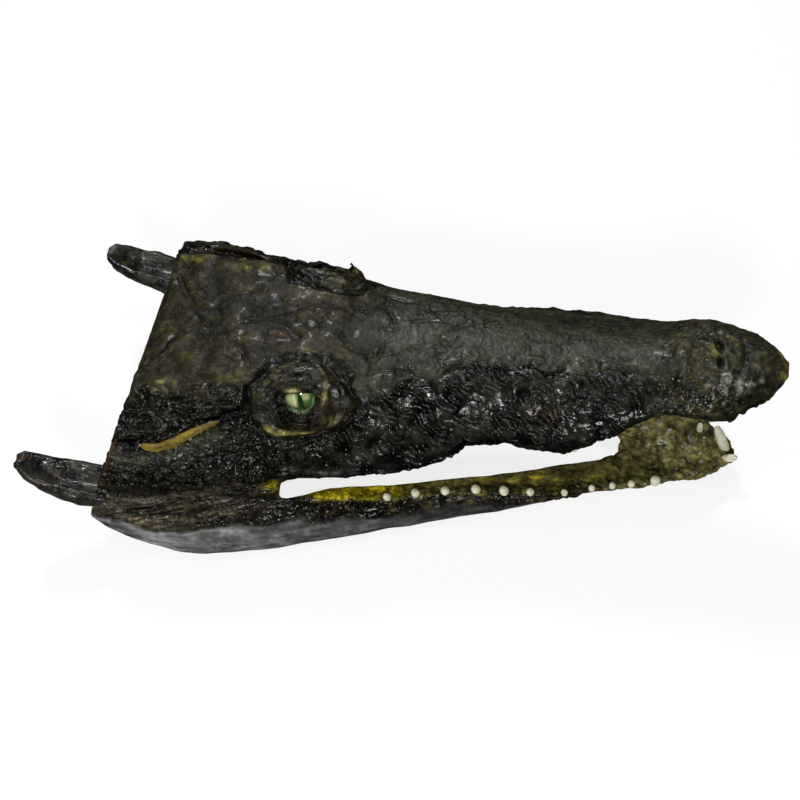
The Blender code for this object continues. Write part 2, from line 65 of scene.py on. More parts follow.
# Camera, light and floor: aim and distance of the camera in millimetres, places of the lights in metres
cameraView = {
    "aim": (-2.15, -1.35, 47.15),
    "azimuth": 18.4,
    "elevation": 55.5,
    "roll": -9.8,
    "distance": 802.9,
    "lens": 56.07,
    "sensor": 36.0,
    "clipStart": 0.01,
}
studio = {
    "floorSize": 8.0,
    "floorColour": (0.2, 0.2, 0.2),
    "floorRoughness": 0.9,
    "floorGlow": 0.82,  # a lit table, so that little shadow shows
    "skyColour": (1.0, 1.0, 1.0),
    "skyStrength": 0.025,
    "aim": (0, 0, 0.05),
    # name: (place, width, height, watts)
    "lights": {
        "back": ((-0.5, 1.1, 1.6), 0.3, 0.3, 16.5),
        "top": ((0.3, 0.2, 2.0), 0.9, 0.6, 8.0),
        "front": ((0.25, -1.5, 1.15), 0.24, 0.24, 17.0),
        "left": ((-1.5, -0.9, 0.9), 0.2, 0.2, 8.5),
    },
}


def deselectAll():
    if bpy.context.object and bpy.context.object.mode != "OBJECT":
        bpy.ops.object.mode_set(mode="OBJECT")
    bpy.ops.object.select_all(action="DESELECT")


def takeUp(piece):
    deselectAll()
    piece.select_set(True)
    bpy.context.view_layer.objects.active = piece


def setInPlace(piece):
    takeUp(piece)
    bpy.ops.object.transform_apply(location=True, rotation=True, scale=True)


def placeCamera():
    view = cameraView
    turn = Matrix.Rotation(math.radians(view["azimuth"]), 4, "Z")
    tip = Matrix.Rotation(math.radians(90 - view["elevation"]), 4, "X")
    roll = Matrix.Rotation(math.radians(view["roll"]), 4, "Z")
    facing = turn @ tip @ roll
    place = Vector(view["aim"]) * mm + (turn @ tip) @ Vector((0, 0, view["distance"] * mm))
    bpy.ops.object.camera_add(location=place, rotation=facing.to_euler())
    camera = bpy.context.object
    camera.data.lens = view["lens"]
    camera.data.sensor_width = view["sensor"]
    camera.data.clip_start = view["clipStart"]
    bpy.context.scene.camera = camera


def lightStudio():
    for name, (place, width, height, watts) in studio["lights"].items():
        facing = (Vector(studio["aim"]) - Vector(place)).to_track_quat("-Z", "Y").to_euler()
        bpy.ops.object.light_add(type="AREA", location=place, rotation=facing)
        light = bpy.context.object
        light.name = name + "Light"
        light.data.shape = "RECTANGLE"
        light.data.size = width
        light.data.size_y = height
        light.data.energy = watts
    world = bpy.context.scene.world or bpy.data.worlds.new("studioWorld")
    bpy.context.scene.world = world
    world.use_nodes = True
    sky = world.node_tree.nodes["Background"]
    sky.inputs["Color"].default_value = (*studio["skyColour"], 1.0)
    sky.inputs["Strength"].default_value = studio["skyStrength"]
    bpy.context.scene.view_settings.view_transform = "Standard"


def layFloor():
    bpy.ops.mesh.primitive_plane_add(size=studio["floorSize"], location=(0, 0, 0))
    floor = bpy.context.object
    floor.name = "floor"
    paint = bpy.data.materials.new("palePaint")
    paint.use_nodes = True
    shader = paint.node_tree.nodes["Principled BSDF"]
    shader.inputs["Base Color"].default_value = (*studio["floorColour"], 1.0)
    shader.inputs["Roughness"].default_value = studio["floorRoughness"]
    shader.inputs["Emission Color"].default_value = (1.0, 1.0, 1.0, 1.0)
    shader.inputs["Emission Strength"].default_value = studio["floorGlow"]
    floor.data.materials.append(paint)
    floor.visible_glossy = False  # dark surroundings for the varnish


placeCamera()
lightStudio()
layFloor()
print("camera, light and floor are set")


# Measures on the head

def toSkull(points):
    # frame metres to the level upper head's millimetres, left and right kept
    turn = math.radians(headPlace["pitch"])
    v = points / mm - np.array(headPlace["origin"])
    x = v[:, 0] * math.cos(turn) + v[:, 2] * math.sin(turn)
    z = -v[:, 0] * math.sin(turn) + v[:, 2] * math.cos(turn)
    return np.stack([x, v[:, 1], z], axis=1)


def skullDirection(direction):
    turn = math.radians(headPlace["pitch"])
    x = direction[0] * math.cos(turn) - direction[2] * math.sin(turn)
    z = direction[0] * math.sin(turn) + direction[2] * math.cos(turn)
    return Vector((x, direction[1], z))


def fromSkull(point):
    return (skullDirection(point) + Vector(headPlace["origin"])) * mm


def toJaw(points):
    return points / mm - np.array(headPlace["jawShift"])


def bothSides(places):
    # left and right folded onto one side
    folded = places.copy()
    folded[:, 1] = np.abs(folded[:, 1])
    return folded


def ramp(value, low, high):
    t = np.clip((value - low) / (high - low), 0.0, 1.0)
    return t * t * (3 - 2 * t)


def follow(x, line):
    return np.interp(x, [p[0] for p in line], [p[1] for p in line])


def nearLine(points, line):
    # distance from each point to a line through the given points
    best = np.full(len(points), 1e9)
    for start, end in zip(line, line[1:]):
        a, b = np.array(start, float), np.array(end, float)
        run = b - a
        t = np.clip(((points - a) @ run) / (run @ run), 0, 1)
        best = np.minimum(best, np.linalg.norm(points - (a + t[:, None] * run), axis=1))
    return best


def hump(distance, wide, power=2):
    # 1 at no distance, falling away over about wide
    return np.exp(-(distance / wide) ** power)


def along(points, line, wide):
    # 1 on a line, falling away over about wide millimetres
    return hump(nearLine(points, line), wide)


def grain(points, size, seed=0.0):
    # soft noise, about -1 to 1, with cells of size in millimetres, or of three sizes
    scaled = points / np.array(size) + seed
    return np.array([noise.noise(Vector(p)) for p in scaled]) * 1.6


def creased(points, size, seed, tall, low):
    # soft noise folded up into round ridges with sharp hollows
    return np.abs(grain(points, size, seed)) * tall - low


def swell(values):
    # round swellings with narrow hollows between them
    return np.sqrt(values ** 2 + 0.012) - 0.1


# Where the mouth parts the head: (X, height) in the jaw's millimetres
mouthLine = ((-60, 52), (0, 51), (40, 47), (68, 43), (74, 50), (100, 47), (138, 44), (170, 46), (350, 52))
# Upper head's dark crease beside the smooth top of the snout: (X, distance from the middle)
snoutCrease = ((120, 47), (136, 42), (149, 37.5), (154, 30), (176, 28.5), (180, 23), (187, 18), (210, 15),
               (217, 16.5), (228, 13.5), (236, 16), (245, 13.5), (257, 13.8), (265, 16), (274, 12), (290, 13),
               (303, 16))
# Lip edge of the upper jaw: (X, height)
lipEdge = ((72, -3), (105, -5), (148, -7), (172, -6), (188, 0), (212, 0), (234, -4), (246, -6), (256, -4),
           (272, 1), (289, 5), (307, 8), (320, 4), (338, -1), (356, 1), (366, 4), (373, 10))
# Top of the lower jaw: (X, height)
gumLine = ((-42, 52), (0, 51), (40, 47), (72, 42), (100, 37), (138, 31), (170, 27), (209, 25), (302, 24),
           (335, 23), (350, 17))
# The eye looks out and up by tilt. Its lids open over openHalf to each side of openMiddle, up to openTop and
# down to openBottom, and both edges bend by a power. The orbit's edge is an oval about orbitMiddle.
eyePlace = {
    "centre": (93.0, 38.0, 42.0),
    "radius": 13.0,
    "tilt": 30.0,
    "openMiddle": 1.9,
    "openHalf": 9.0,
    "openTop": 3.4,
    "openBottom": -10.9,
    "topBend": 0.35,
    "bottomBend": 0.55,
    "orbitMiddle": 3.0,
    "orbitHalf": (30.5, 22.0),
}


def eyeFrame(skull):
    # millimetres ahead of the eye's middle, up across it and out of the head
    tilt = math.radians(eyePlace["tilt"])
    v = bothSides(skull) - np.array(eyePlace["centre"])
    rise = -v[:, 1] * math.sin(tilt) + v[:, 2] * math.cos(tilt)
    out = v[:, 1] * math.cos(tilt) + v[:, 2] * math.sin(tilt)
    return v[:, 0], rise, out


def orbitReach(skull):
    # 0 at the middle of the orbit to 1 on its edge
    ahead, rise, out = eyeFrame(skull)
    half, tall = eyePlace["orbitHalf"]
    return np.where(out > -6.0, np.hypot((ahead - eyePlace["orbitMiddle"]) / half, rise / tall), 9.0)


def lidOpening(ahead, rise):
    # above 0 inside the opening of the lids, in millimetres from its edge
    aside, half = np.abs(ahead - eyePlace["openMiddle"]), eyePlace["openHalf"]
    t = np.clip(1 - (aside / half) ** 2, 0, 1)
    top = eyePlace["openTop"] * t ** eyePlace["topBend"]
    bottom = eyePlace["openBottom"] * t ** eyePlace["bottomBend"]
    return np.minimum(top - rise, rise - bottom) - np.maximum(aside - half, 0)


def lowerJaw(points):
    # 1 under the mouth and 0 over it
    jaw = toJaw(points)
    return ramp(follow(jaw[:, 0], mouthLine) - jaw[:, 2], -1.5, 1.5)


# The skin: one closed mesh in place of all the solids that carry hide
skinMaking = {
    "nodes": ("cranium", "snout", "nose", "nostril_disc", "cheek_left", "cheek_right", "upper_lid_left",
              "upper_lid_right", "lower_lid_left", "lower_lid_right", "jaw_left", "jaw_right", "chin"),
    "closeGaps": 0.6,  # swelling that closes the cuts between the solids
    "voxel": 0.95,
    "soften": 12,
    "softenBroad": 60,
    "below": 1.1,  # middle of the relief under the solids' own surface
    "over": 0.4,  # highest ridges above that surface before the swelling is taken off
    "deepest": -6.0,
    "foot": 0.0001,  # lowest level, in metres
    "triangles": 194000,
}
# The solids' own teeth go back inside the jaws, because the finished teeth are separate pieces
stubDrop = {
    # (X, distance from the middle, radius) of the lower stubs, taken down under the gum
    "places": ((137, 64.2, 2.6), (154, 58, 3.0), (172, 53, 3.0), (190, 49, 3.1), (207, 47.3, 3.1),
               (225, 46, 2.7), (244, 44.1, 2.5), (261, 38.6, 2.5), (285, 32.3, 2.5), (301, 28, 3.5),
               (318, 22.3, 2.3), (331, 17.7, 2.4)),
    "beside": 3.5,
    "aboveGum": 0.5,
    "underGum": 3.0,
    "tall": (333, 24.0, 10, 16.0),  # the tall front one: ahead of, above, half as wide as, and down to
    "upperFrom": 134,  # upper stubs from here on rise into the lip
    "underLip": 0.4,
    "raise": 3.5,
}
# A shell over each eye closes the lids down to their opening. The hide then lies inside millimetres from the
# eye's middle in the opening, and rim at its edge, which rises by slope and flare away from it.
lidShell = {
    "radius": 15.4,
    "thick": 2.8,
    "front": 5.0,  # the shell's faces start this far out of the head
    "inside": 12.0,
    "rim": 13.5,
    "slope": 0.7,
    "flare": 0.12,
    "widest": 22,
    "farthest": 40,
}


def joinPieces(pieces):
    # into the first of them
    deselectAll()
    for piece in pieces:
        piece.select_set(True)
    bpy.context.view_layer.objects.active = pieces[0]
    if len(pieces) > 1:
        bpy.ops.object.join()
    return bpy.context.view_layer.objects.active


def copyOf(piece):
    # with its own mesh
    copy = piece.copy()
    copy.data = piece.data.copy()
    bpy.context.scene.collection.objects.link(copy)
    return copy


def onWhole(piece, operator, **settings):
    # one edit-mode operator on the whole piece
    takeUp(piece)
    bpy.ops.object.mode_set(mode="EDIT")
    bpy.ops.mesh.select_all(action="SELECT")
    operator(**settings)
    bpy.ops.object.mode_set(mode="OBJECT")


def faceOutwards(piece):
    onWhole(piece, bpy.ops.mesh.normals_make_consistent, inside=False)


def pickFaces(piece, chosen):
    # enters edit mode with only the chosen faces selected
    takeUp(piece)
    bpy.ops.object.mode_set(mode="EDIT")
    bpy.ops.mesh.select_mode(type="FACE")
    bpy.ops.mesh.select_all(action="DESELECT")
    bpy.ops.object.mode_set(mode="OBJECT")
    piece.data.polygons.foreach_set("select", [bool(c) for c in chosen])
    bpy.ops.object.mode_set(mode="EDIT")


def copyNodes(names, title):
    joined = joinPieces([copyOf(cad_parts[name]) for name in names])
    joined.name = title
    onWhole(joined, bpy.ops.mesh.remove_doubles, threshold=0.00001)
    joined.data.materials.clear()
    return joined


def applyModifier(piece, kind, **settings):
    takeUp(piece)
    modifier = piece.modifiers.new(kind.lower(), kind)
    for name, value in settings.items():
        setattr(modifier, name, value)
    bpy.ops.object.modifier_apply(modifier=modifier.name)


def readPoints(piece, what="co"):
    values = np.empty(len(piece.data.vertices) * 3)
    piece.data.vertices.foreach_get(what, values)
    return values.reshape(-1, 3)


def writePoints(piece, points):
    piece.data.vertices.foreach_set("co", points.ravel())
    piece.data.update()


def pickPoints(piece, name, weights):
    # a vertex group with a weight for each point, rounded to tenths
    group = piece.vertex_groups.new(name=name)
    tenths = np.round(weights * 10).astype(int)
    for tenth in range(1, 11):
        chosen = np.nonzero(tenths == tenth)[0]
        if len(chosen):
            group.add(chosen.tolist(), tenth / 10, "REPLACE")


def dropToothStubs(piece):
    points = readPoints(piece)
    skull, jaw = toSkull(points), toJaw(points)
    lower, aside = lowerJaw(points) > 0.5, np.abs(jaw[:, 1])
    gum = follow(jaw[:, 0], gumLine)
    for x, y, radius in stubDrop["places"]:
        near = np.hypot(jaw[:, 0] - x, aside - y) < radius + stubDrop["beside"]
        near &= lower & (jaw[:, 2] > gum + stubDrop["aboveGum"])
        points[near, 2] = (gum[near] - stubDrop["underGum"]) * mm
    ahead, above, half, down = stubDrop["tall"]
    tall = lower & (jaw[:, 0] > ahead) & (jaw[:, 2] > above) & (aside < half)
    points[tall, 2] = down * mm
    lip = follow(skull[:, 0], lipEdge) - stubDrop["underLip"]
    hanging = np.nonzero(~lower & (skull[:, 0] > stubDrop["upperFrom"]) & (skull[:, 2] < lip))[0]
    for k in hanging:
        points[k] = fromSkull((skull[k, 0], skull[k, 1], lip[k] + stubDrop["raise"]))
    writePoints(piece, points)


def eyePlaceOf(side):
    # the eye's middle and its directions ahead, up and out of the head
    x, y, z = eyePlace["centre"]
    centre = fromSkull((x, side * y, z))
    tilt = math.radians(eyePlace["tilt"])
    outward = skullDirection((0, side * math.cos(tilt), math.sin(tilt)))
    upward = skullDirection((0, -side * math.sin(tilt), math.cos(tilt)))
    return centre, np.array([skullDirection((1, 0, 0)), upward, outward])


def addLids(skin):
    lids = []
    for side in (-1, 1):
        centre, directions = eyePlaceOf(side)
        deselectAll()
        bpy.ops.mesh.primitive_uv_sphere_add(segments=96, ring_count=64, radius=1.0)
        lid = bpy.context.object
        writePoints(lid, readPoints(lid) * lidShell["radius"])
        middles = np.array([face.center for face in lid.data.polygons])
        opening = lidOpening(middles[:, 0], middles[:, 1]) > 0
        pickFaces(lid, (middles[:, 2] < lidShell["front"]) | opening)
        bpy.ops.mesh.delete(type="FACE")
        bpy.ops.object.mode_set(mode="OBJECT")
        writePoints(lid, readPoints(lid) @ directions * mm + np.array(centre))
        faceOutwards(lid)
        applyModifier(lid, "SOLIDIFY", thickness=lidShell["thick"] * mm, offset=-1.0)
        lids.append(lid)
    joinPieces([skin] + lids)


def openLids(skin):
    # sinks the lids towards the glass, and under it inside their opening
    points = readPoints(skin)
    ahead, rise, facing = eyeFrame(toSkull(points))
    opening, across = lidOpening(ahead, rise), np.hypot(ahead, rise)
    beyond = np.maximum(-opening, 0)
    away = lidShell["rim"] + lidShell["slope"] * beyond + lidShell["flare"] * beyond ** 2
    limit = np.where(opening > 0, lidShell["inside"], away)
    inward = facing - np.sqrt(np.maximum(limit ** 2 - across ** 2, 0))
    proud = (facing > 0.5) & (across < np.minimum(limit, lidShell["widest"])) & (inward > 0)
    for side in (-1, 1):
        centre, directions = eyePlaceOf(side)
        near = proud & (np.linalg.norm(points - np.array(centre), axis=1) < lidShell["farthest"] * mm)
        points[near] -= inward[near, None] * directions[2] * mm
    writePoints(skin, points)


def makeSkinBase():
    skin = copyNodes(skinMaking["nodes"], "skin")
    dropToothStubs(skin)
    addLids(skin)
    applyModifier(skin, "DISPLACE", mid_level=0.0, strength=skinMaking["closeGaps"] * mm)
    applyModifier(skin, "REMESH", mode="VOXEL", voxel_size=skinMaking["voxel"] * mm)
    applyModifier(skin, "SMOOTH", factor=0.5, iterations=skinMaking["soften"])
    zones = skinZones(skin)
    pickPoints(skin, "broad", np.clip(zones["top"] + zones["roof"] + zones["mandible"], 0, 1))
    applyModifier(skin, "SMOOTH", factor=0.5, iterations=skinMaking["softenBroad"], vertex_group="broad")
    openLids(skin)
    return skin


# Edge of the skull table: (X, distance from the middle)
tableEdge = ((-20, 55), (-5, 53), (14, 52), (33, 51), (68, 46), (92, 42), (120, 40), (132, 38))
# Lower jaw: the middle of its top between its outer and inner sides, the height of the closed mouth's line
# behind the mouth's corner, and the height where the smooth underside begins
jawMiddle = ((-42, 84), (20, 84), (60, 80), (73, 79), (100, 69), (135, 61), (167, 52), (204, 44), (240, 41),
             (270, 30))
cornerLine = ((-60, 36), (-34, 41), (-6, 52), (29, 64), (54, 67), (73, 65))
mandibleTop = ((-42, 34), (-6, 28.5), (25, 29.5), (56, 29), (86, 26), (115, 23.5), (158, 19), (209, 15),
               (260, 12), (276, 10))


def skinZones(piece):
    # how far each point belongs to each stretch of the hide, 0 to 1, and its places on the head
    points, normals = readPoints(piece), readPoints(piece, "normal")
    p, skull, jaw = points / mm, toSkull(points), toJaw(points)
    x, out, jawX = skull[:, 0], np.abs(skull[:, 1]), jaw[:, 0]
    lower = lowerJaw(points)
    upper = 1 - lower
    under = ramp(-normals[:, 2], 0.35, 0.6) * upper * ramp(x, 60, 80)
    far = ramp(skull[:, 1], -5, 5)
    crease = follow(x, snoutCrease) + 26 * far
    reach = orbitReach(skull)
    ahead, rise, facing = eyeFrame(skull)
    lidEdge = np.where((facing > 2) & (np.hypot(ahead, rise) < 18), lidOpening(ahead, rise), -9.0)
    orbit = (1 - ramp(reach, 1.0, 1.2)) * upper
    outside = upper * (1 - under)
    ragged = out - crease + 2.5 * grain(p, 7, 1.5)
    top = outside * ramp(x, 120, 140) * (1 - ramp(ragged, -3, 3)) * (1 - orbit)
    nose = outside * ramp(x + 6 * grain(p, 12, 2.5), 296, 312)
    flank = outside * ramp(x, 100, 118) * ramp(ragged, -3, 3) * (1 - orbit) * (1 - nose)
    beyond = out - follow(x, tableEdge) + 3.0 * grain(p, (11, 9, 6), 61.5)
    roof = outside * (1 - ramp(x, 120, 140)) * (1 - ramp(beyond, -4, 5)) * (1 - orbit)
    cheek = outside * (1 - ramp(x, 100, 118)) * ramp(beyond, -4, 5) * (1 - orbit)
    inner = lower * ramp(follow(jawX, jawMiddle) - np.abs(jaw[:, 1]), -2, 2) * (1 - ramp(jawX, 268, 282))
    corner = (1 - ramp(jawX, 70, 75)) * ramp(follow(jawX, cornerLine) - jaw[:, 2], -1.5, 1.5)
    corner = np.maximum(lower, corner)
    low = follow(jawX, mandibleTop) + 2.5 * grain(p, (26, 12, 6), 71.5)
    mandible = lower * ramp(low - jaw[:, 2], -2, 3) * (1 - inner) * (1 - ramp(jawX, 255, 275))
    chin = lower * ramp(jawX, 258, 276)
    band = corner * (1 - mandible) * (1 - chin) * (1 - inner)
    cheek = cheek * (1 - corner)
    return {"upper": upper, "lower": lower, "under": under, "orbit": orbit, "top": top, "nose": nose,
            "flank": flank, "roof": roof, "cheek": cheek, "inner": inner, "mandible": mandible, "chin": chin,
            "band": band, "reach": reach, "lidEdge": lidEdge, "out": out, "far": far, "crease": crease,
            "skull": skull, "jaw": jaw, "points": points, "normals": normals}


# Grooves and ridges of the upper head, on both sides: width, height, and points (X, from the middle, Z)
headLines = {
    "rearGroove": (1.5, -2.0, ((-2.2, 34.7, 63.6), (4.8, 25.6, 64), (10.4, 16.4, 64.2), (19, 7.4, 64.8),
                               (26.7, 4.7, 65.4), (35.2, 5, 65.8))),
    "besideGroove": (2.0, 0.9, ((1.5, 36, 63.8), (8.5, 26.5, 64), (14, 18, 64.3), (21.5, 10.5, 64.9),
                                (27, 8.5, 65.4))),
    "backGroove": (1.4, -1.3, ((6, 21, 63.9), (12.5, 9.1, 64.3), (22.4, 0.4, 65.1), (35.2, -5, 65.8))),
    "slantGroove": (1.3, -1.3, ((35.2, 5, 65.8), (48.6, 14.3, 65.7), (59.4, 25.8, 64.8), (63.2, 34.1, 63.8))),
    "betweenEyes": (4.0, -1.6, ((55.7, 2, 65.4), (68.6, 3, 65.1), (80.7, 6.7, 64.1), (89.6, 12.2, 63.2))),
    "orbitRoof": (1.9, -2.4, ((71.1, 41.7, 62.2), (74.7, 32.6, 62.9), (80.4, 30.2, 62.7), (86.9, 28.4, 62.3),
                              (97.1, 27.5, 61.2), (105.2, 29.2, 58.7), (112.1, 31.2, 56), (118.2, 34.9, 52.7),
                              (123.7, 37.9, 49.9))),
    "sideCrease": (1.3, -1.5, ((119.3, 14.8, 56.2), (129.5, 17.3, 52.8), (136.2, 22.7, 50.2),
                               (135.8, 29, 48.8))),
    "upperCrease": (1.2, -1.3, ((135.9, 22.9, 50.3), (139.8, 16.3, 50.6), (143.6, 10, 50.5))),
    "topCrease": (1.2, -1.3, ((135.8, 29, 48.8), (148.6, 27.3, 46.8), (158.5, 22.3, 46.1),
                              (166.9, 18.6, 45.1))),
    "underTable": (3.0, -3.2, ((66, 56.8, 47.5), (40, 65, 45.5), (10, 74, 42.5), (-15.3, 82.9, 39.8))),
    "tableRim": (2.6, 1.0, ((-5, 53, 63), (12, 52.6, 62.9), (32.5, 54.1, 57.2), (46, 49.8, 59.7),
                            (54.3, 46.7, 61.8), (66.9, 39.4, 62.9))),
    "tableKnob": (4.5, 1.4, ((11, 52.6, 63), (16, 51, 64))),
    "earBand": (4.5, 0.8, ((-16.6, 86, 37), (-2, 86, 35.5), (13.5, 82, 36), (28.7, 77, 37), (44, 70, 39))),
    "belowEar": (1.8, -1.8, ((-12, 92, 26), (14, 88, 27), (46, 80, 27), (62, 74, 30))),
    "lowerRim": (1.8, 1.5, ((70.4, 63.5, 38.4), (76, 65.4, 38.2), (80.5, 65.9, 36), (86.3, 65.9, 34.1),
                            (98.8, 63.5, 33.4), (104, 62, 33))),
    "frontArc": (1.4, 1.1, ((104.9, 28.7, 58.9), (109.9, 35.8, 55.8), (112.3, 40.7, 53.7),
                            (111.2, 46.5, 48.5))),
    "frontCorner": (2.0, 1.3, ((111, 47, 47.5), (109.5, 52, 46))),
    "browCrease": (1.3, -1.6, ((156.4, 11.3, 48), (165, 13.5, 46.1), (174.9, 13, 44.5))),
    "midCrease": (1.3, -1.3, ((173.3, 1.9, 45.4), (180.1, 8.2, 44), (187, 14, 42))),
    "closedLip": (1.2, 0.9, ((72.2, 82.3, 9.5), (55.1, 87.3, 13), (30, 92.1, 13.4), (-6.5, 95.3, 5),
                             (-35.6, 101.4, -1.9))),
    "closedMouth": (1.3, -1.8, ((74, 81, 4), (72.2, 83, 6.3), (55.1, 88, 10), (30, 92.8, 10.4), (-6.5, 96, 2),
                                (-35.6, 102, -5))),
}
# Where the hide was cut through behind, from the skull table's corner down
cutEdge = ((-21.3, 81.1, 41.2), (-24.6, 87.8, 36.6), (-27.3, 94.2, 31), (-30.5, 96.7, 26.4),
           (-31.6, 98.7, 21.2), (-34, 101, 12), (-36, 103, 3))
# Smooth grey band along the upper lip behind the snout
lipBand = ((81.7, 78, 14.9), (90, 76.4, 8.2), (107, 72.6, 3.1), (125, 69.7, -0.4), (137, 67.9, -1.5),
           (149, 65.4, -1.4))
# Grooves of the lower jaw's corner: width, height, points in the jaw's millimetres
jawLines = {
    "underMouth": (1.4, -1.8, ((-32, 102, 38), (-4, 97, 46.5), (22, 93.3, 51.5), (40, 91, 57), (58, 87, 63),
                               (70, 83, 63))),
    "wrinkleOne": (1.3, -1.5, ((-29, 102, 35), (-6, 98.4, 43.2), (16, 94, 46.6), (37, 91, 53), (60, 87, 57))),
    "wrinkleTwo": (1.3, -1.3, ((-33, 104.6, 30), (-13.7, 102, 36.2), (6.3, 98.2, 40.5), (24.8, 94.3, 40.2),
                               (50, 92, 42))),
}
# Strength of the relief on each stretch of the hide, and millimetres from fold to fold
wrinkles = {
    "slant": 36,  # degrees below level, going forwards
    "folds": 1.6,
    "flank": 1.0,
    "roof": 0.42,
    "cheek": 1.0,
    "top": 0.12,
    "nose": 0.5,
    "band": 1.1,
    "mandible": 0.35,
    "chin": 1.0,
    "inner": 0.3,
    "under": 0.15,
    "flankStep": 3.7,
    "bandStep": 2.9,
    "cheekStep": 4.4,
    "lidStep": 2.7,
    "roofStep": 6.5,
}
# Notches in the upper lip's edge: X of each, depth and half width
lipNotches = {"places": (192.5, 212.5, 254.0), "deep": 2.6, "wide": 4.5}
earHollow = {"centre": (3.1, 69.8, 48.2), "long": 11.0, "wide": 7, "step": 0.42}
nostrils = {
    "centre": (332.6, -1.5, 36.0),
    "long": 15.5,
    "wide": 14.5,
    "slits": (((333.5, 2.4, 40.9), (334.6, -2.2, 38.2)), ((335.1, -9.8, 39.2), (335.6, -12.6, 36.7))),
}


def foldRuns(zones):
    # the hide's parallel wrinkles: a count across them, and how strongly they show, 0 to 1
    p, skull, jaw, out = zones["points"] / mm, zones["skull"], zones["jaw"], zones["out"]
    down = math.radians(wrinkles["slant"])
    across = skull[:, 0] * math.sin(down) + 0.7 * (skull[:, 2] - out) * math.cos(down)
    wander = grain(p, 14, 33.0)
    patches = ramp(grain(p, 12, 31.0), -0.45, 0.35)
    drawnOut = grain(p, (42, 14, 10), 36.0)
    rise = eyeFrame(skull)[1]
    runs = (
        (across / wrinkles["flankStep"] + 1.0 * wander + 0.4 * grain(p, 6, 35.0), zones["flank"] * patches),
        ((jaw[:, 2] - 0.22 * np.minimum(jaw[:, 0], 60)) / wrinkles["bandStep"] + 1.1 * drawnOut,
         zones["band"] * (1 - ramp(jaw[:, 0], 70, 100)) * ramp(grain(p, (26, 9, 7), 37.0), -0.7, 0.1)),
        (skull[:, 2] / wrinkles["cheekStep"] + 1.4 * drawnOut + 0.3 * wander,
         0.65 * zones["cheek"] * patches),
        (zones["lidEdge"] / wrinkles["lidStep"] + 0.35 * wander,
         zones["orbit"] * ramp(-zones["lidEdge"], 1, 3) * ramp(-rise, -2, 5)),
        (out / wrinkles["roofStep"] + 1.2 * drawnOut, 0.4 * zones["roof"] * patches),
    )
    count, strong = np.zeros(len(p)), np.zeros(len(p))
    for step, share in runs:
        stronger = share > strong
        count[stronger], strong[stronger] = step[stronger], share[stronger]
    return count, ramp(strong, 0.2, 1.0)


def earRing(zones):
    # 0 at the middle of the ear hollow to 1 on its ragged edge
    ear = bothSides(zones["skull"]) - np.array(earHollow["centre"])
    x, y, z = ear[:, 0] / earHollow["long"], ear[:, 1] / earHollow["wide"], ear[:, 2] / earHollow["wide"]
    return np.sqrt(x ** 2 + y ** 2 + z ** 2) + 0.28 * grain(zones["points"] / mm, 6, 97.0)


def onNostrilDisc(skull):
    # places from the disc's middle, 0 there to 1 on its edge, and millimetres towards its front
    disc = skull[:, :2] - np.array(nostrils["centre"][:2])
    reach = np.hypot(disc[:, 0] / nostrils["long"], disc[:, 1] / nostrils["wide"])
    return disc, reach, 0.8 * disc[:, 0] + 0.6 * disc[:, 1]


def slitGaps(skull):
    # distance to each nostril's slit, seen from above
    return [nearLine(skull * [1, 1, 0], [(x, y, 0) for x, y, z in slit]) for slit in nostrils["slits"]]


def raiseHide(height, zones, p, bent):
    # lumps all over, weak on the smooth stretches
    smooth = np.clip(zones["top"] + 0.7 * zones["mandible"] + 0.8 * zones["inner"], 0, 1)
    height += grain(p, 13, 5.5) * (0.7 - 0.5 * smooth) * (1 - 0.7 * zones["under"])
    # parallel wrinkles, and lumps between their clusters
    count, strong = foldRuns(zones)
    height += wrinkles["folds"] * strong * (np.abs(np.sin(math.pi * count)) ** 0.7 - 0.65)
    sides = 0.7 * grain(p, 9, 61.0) + 0.5 * swell(grain(p, 4.5, 62.0))
    height += zones["flank"] * wrinkles["flank"] * sides * (1 - 0.3 * zones["far"])
    # upper lip, knobbly and notched
    x = zones["skull"][:, 0]
    lip = hump(zones["skull"][:, 2] - follow(x, lipEdge), 4.0) * zones["upper"] * ramp(x, 110, 130)
    height += lip * (1.5 * np.abs(grain(p, 7, 66.0)) + 0.7 * grain(p, 3.5, 67.0) - 0.5)
    for middle in lipNotches["places"]:
        height -= lipNotches["deep"] * lip * hump(x - middle, lipNotches["wide"])
    # long folds on the skull table, folds down and back from the eye, and faint scales on top of the snout
    ahead = ramp(zones["jaw"][:, 0], 130, 200)
    longFolds = creased(bent, (24, 8, 3.2), 52.0, 1.8, 0.6)
    shortFolds = creased(bent, (8, 5, 3.0), 53.0, 1.8, 0.6)
    for zone, rough in (
        ("roof", creased(bent, (14, 9, 9), 12.0, 1.6, 0.5) + 0.35 * grain(p, 3.5, 71.0)),
        ("cheek", creased(bent, (9, 5, 4.5), 44.0, 1.8, 0.6) + 0.4 * grain(p, 3, 81.0)),
        ("top", grain(p, 5, 15.0) + 0.5 * grain(p, 2.6, 16.0)),
        ("nose", creased(p, 6, 27.0, 1.6, 0.5) + 0.4 * grain(p, 3, 28.0)),
        ("band", 0.4 * longFolds * (1 - ahead) + shortFolds * ahead),
        ("mandible", grain(bent, (30, 12, 6), 54.0)),
        ("chin", creased(p, 7, 57.0, 1.7, 0.5) + 0.4 * grain(p, 3.2, 58.0)),
        ("inner", grain(bent, (14, 6, 6), 59.0)),
        ("under", grain(bent, (16, 8, 8), 60.0)),
    ):
        height += zones[zone] * wrinkles[zone] * rough


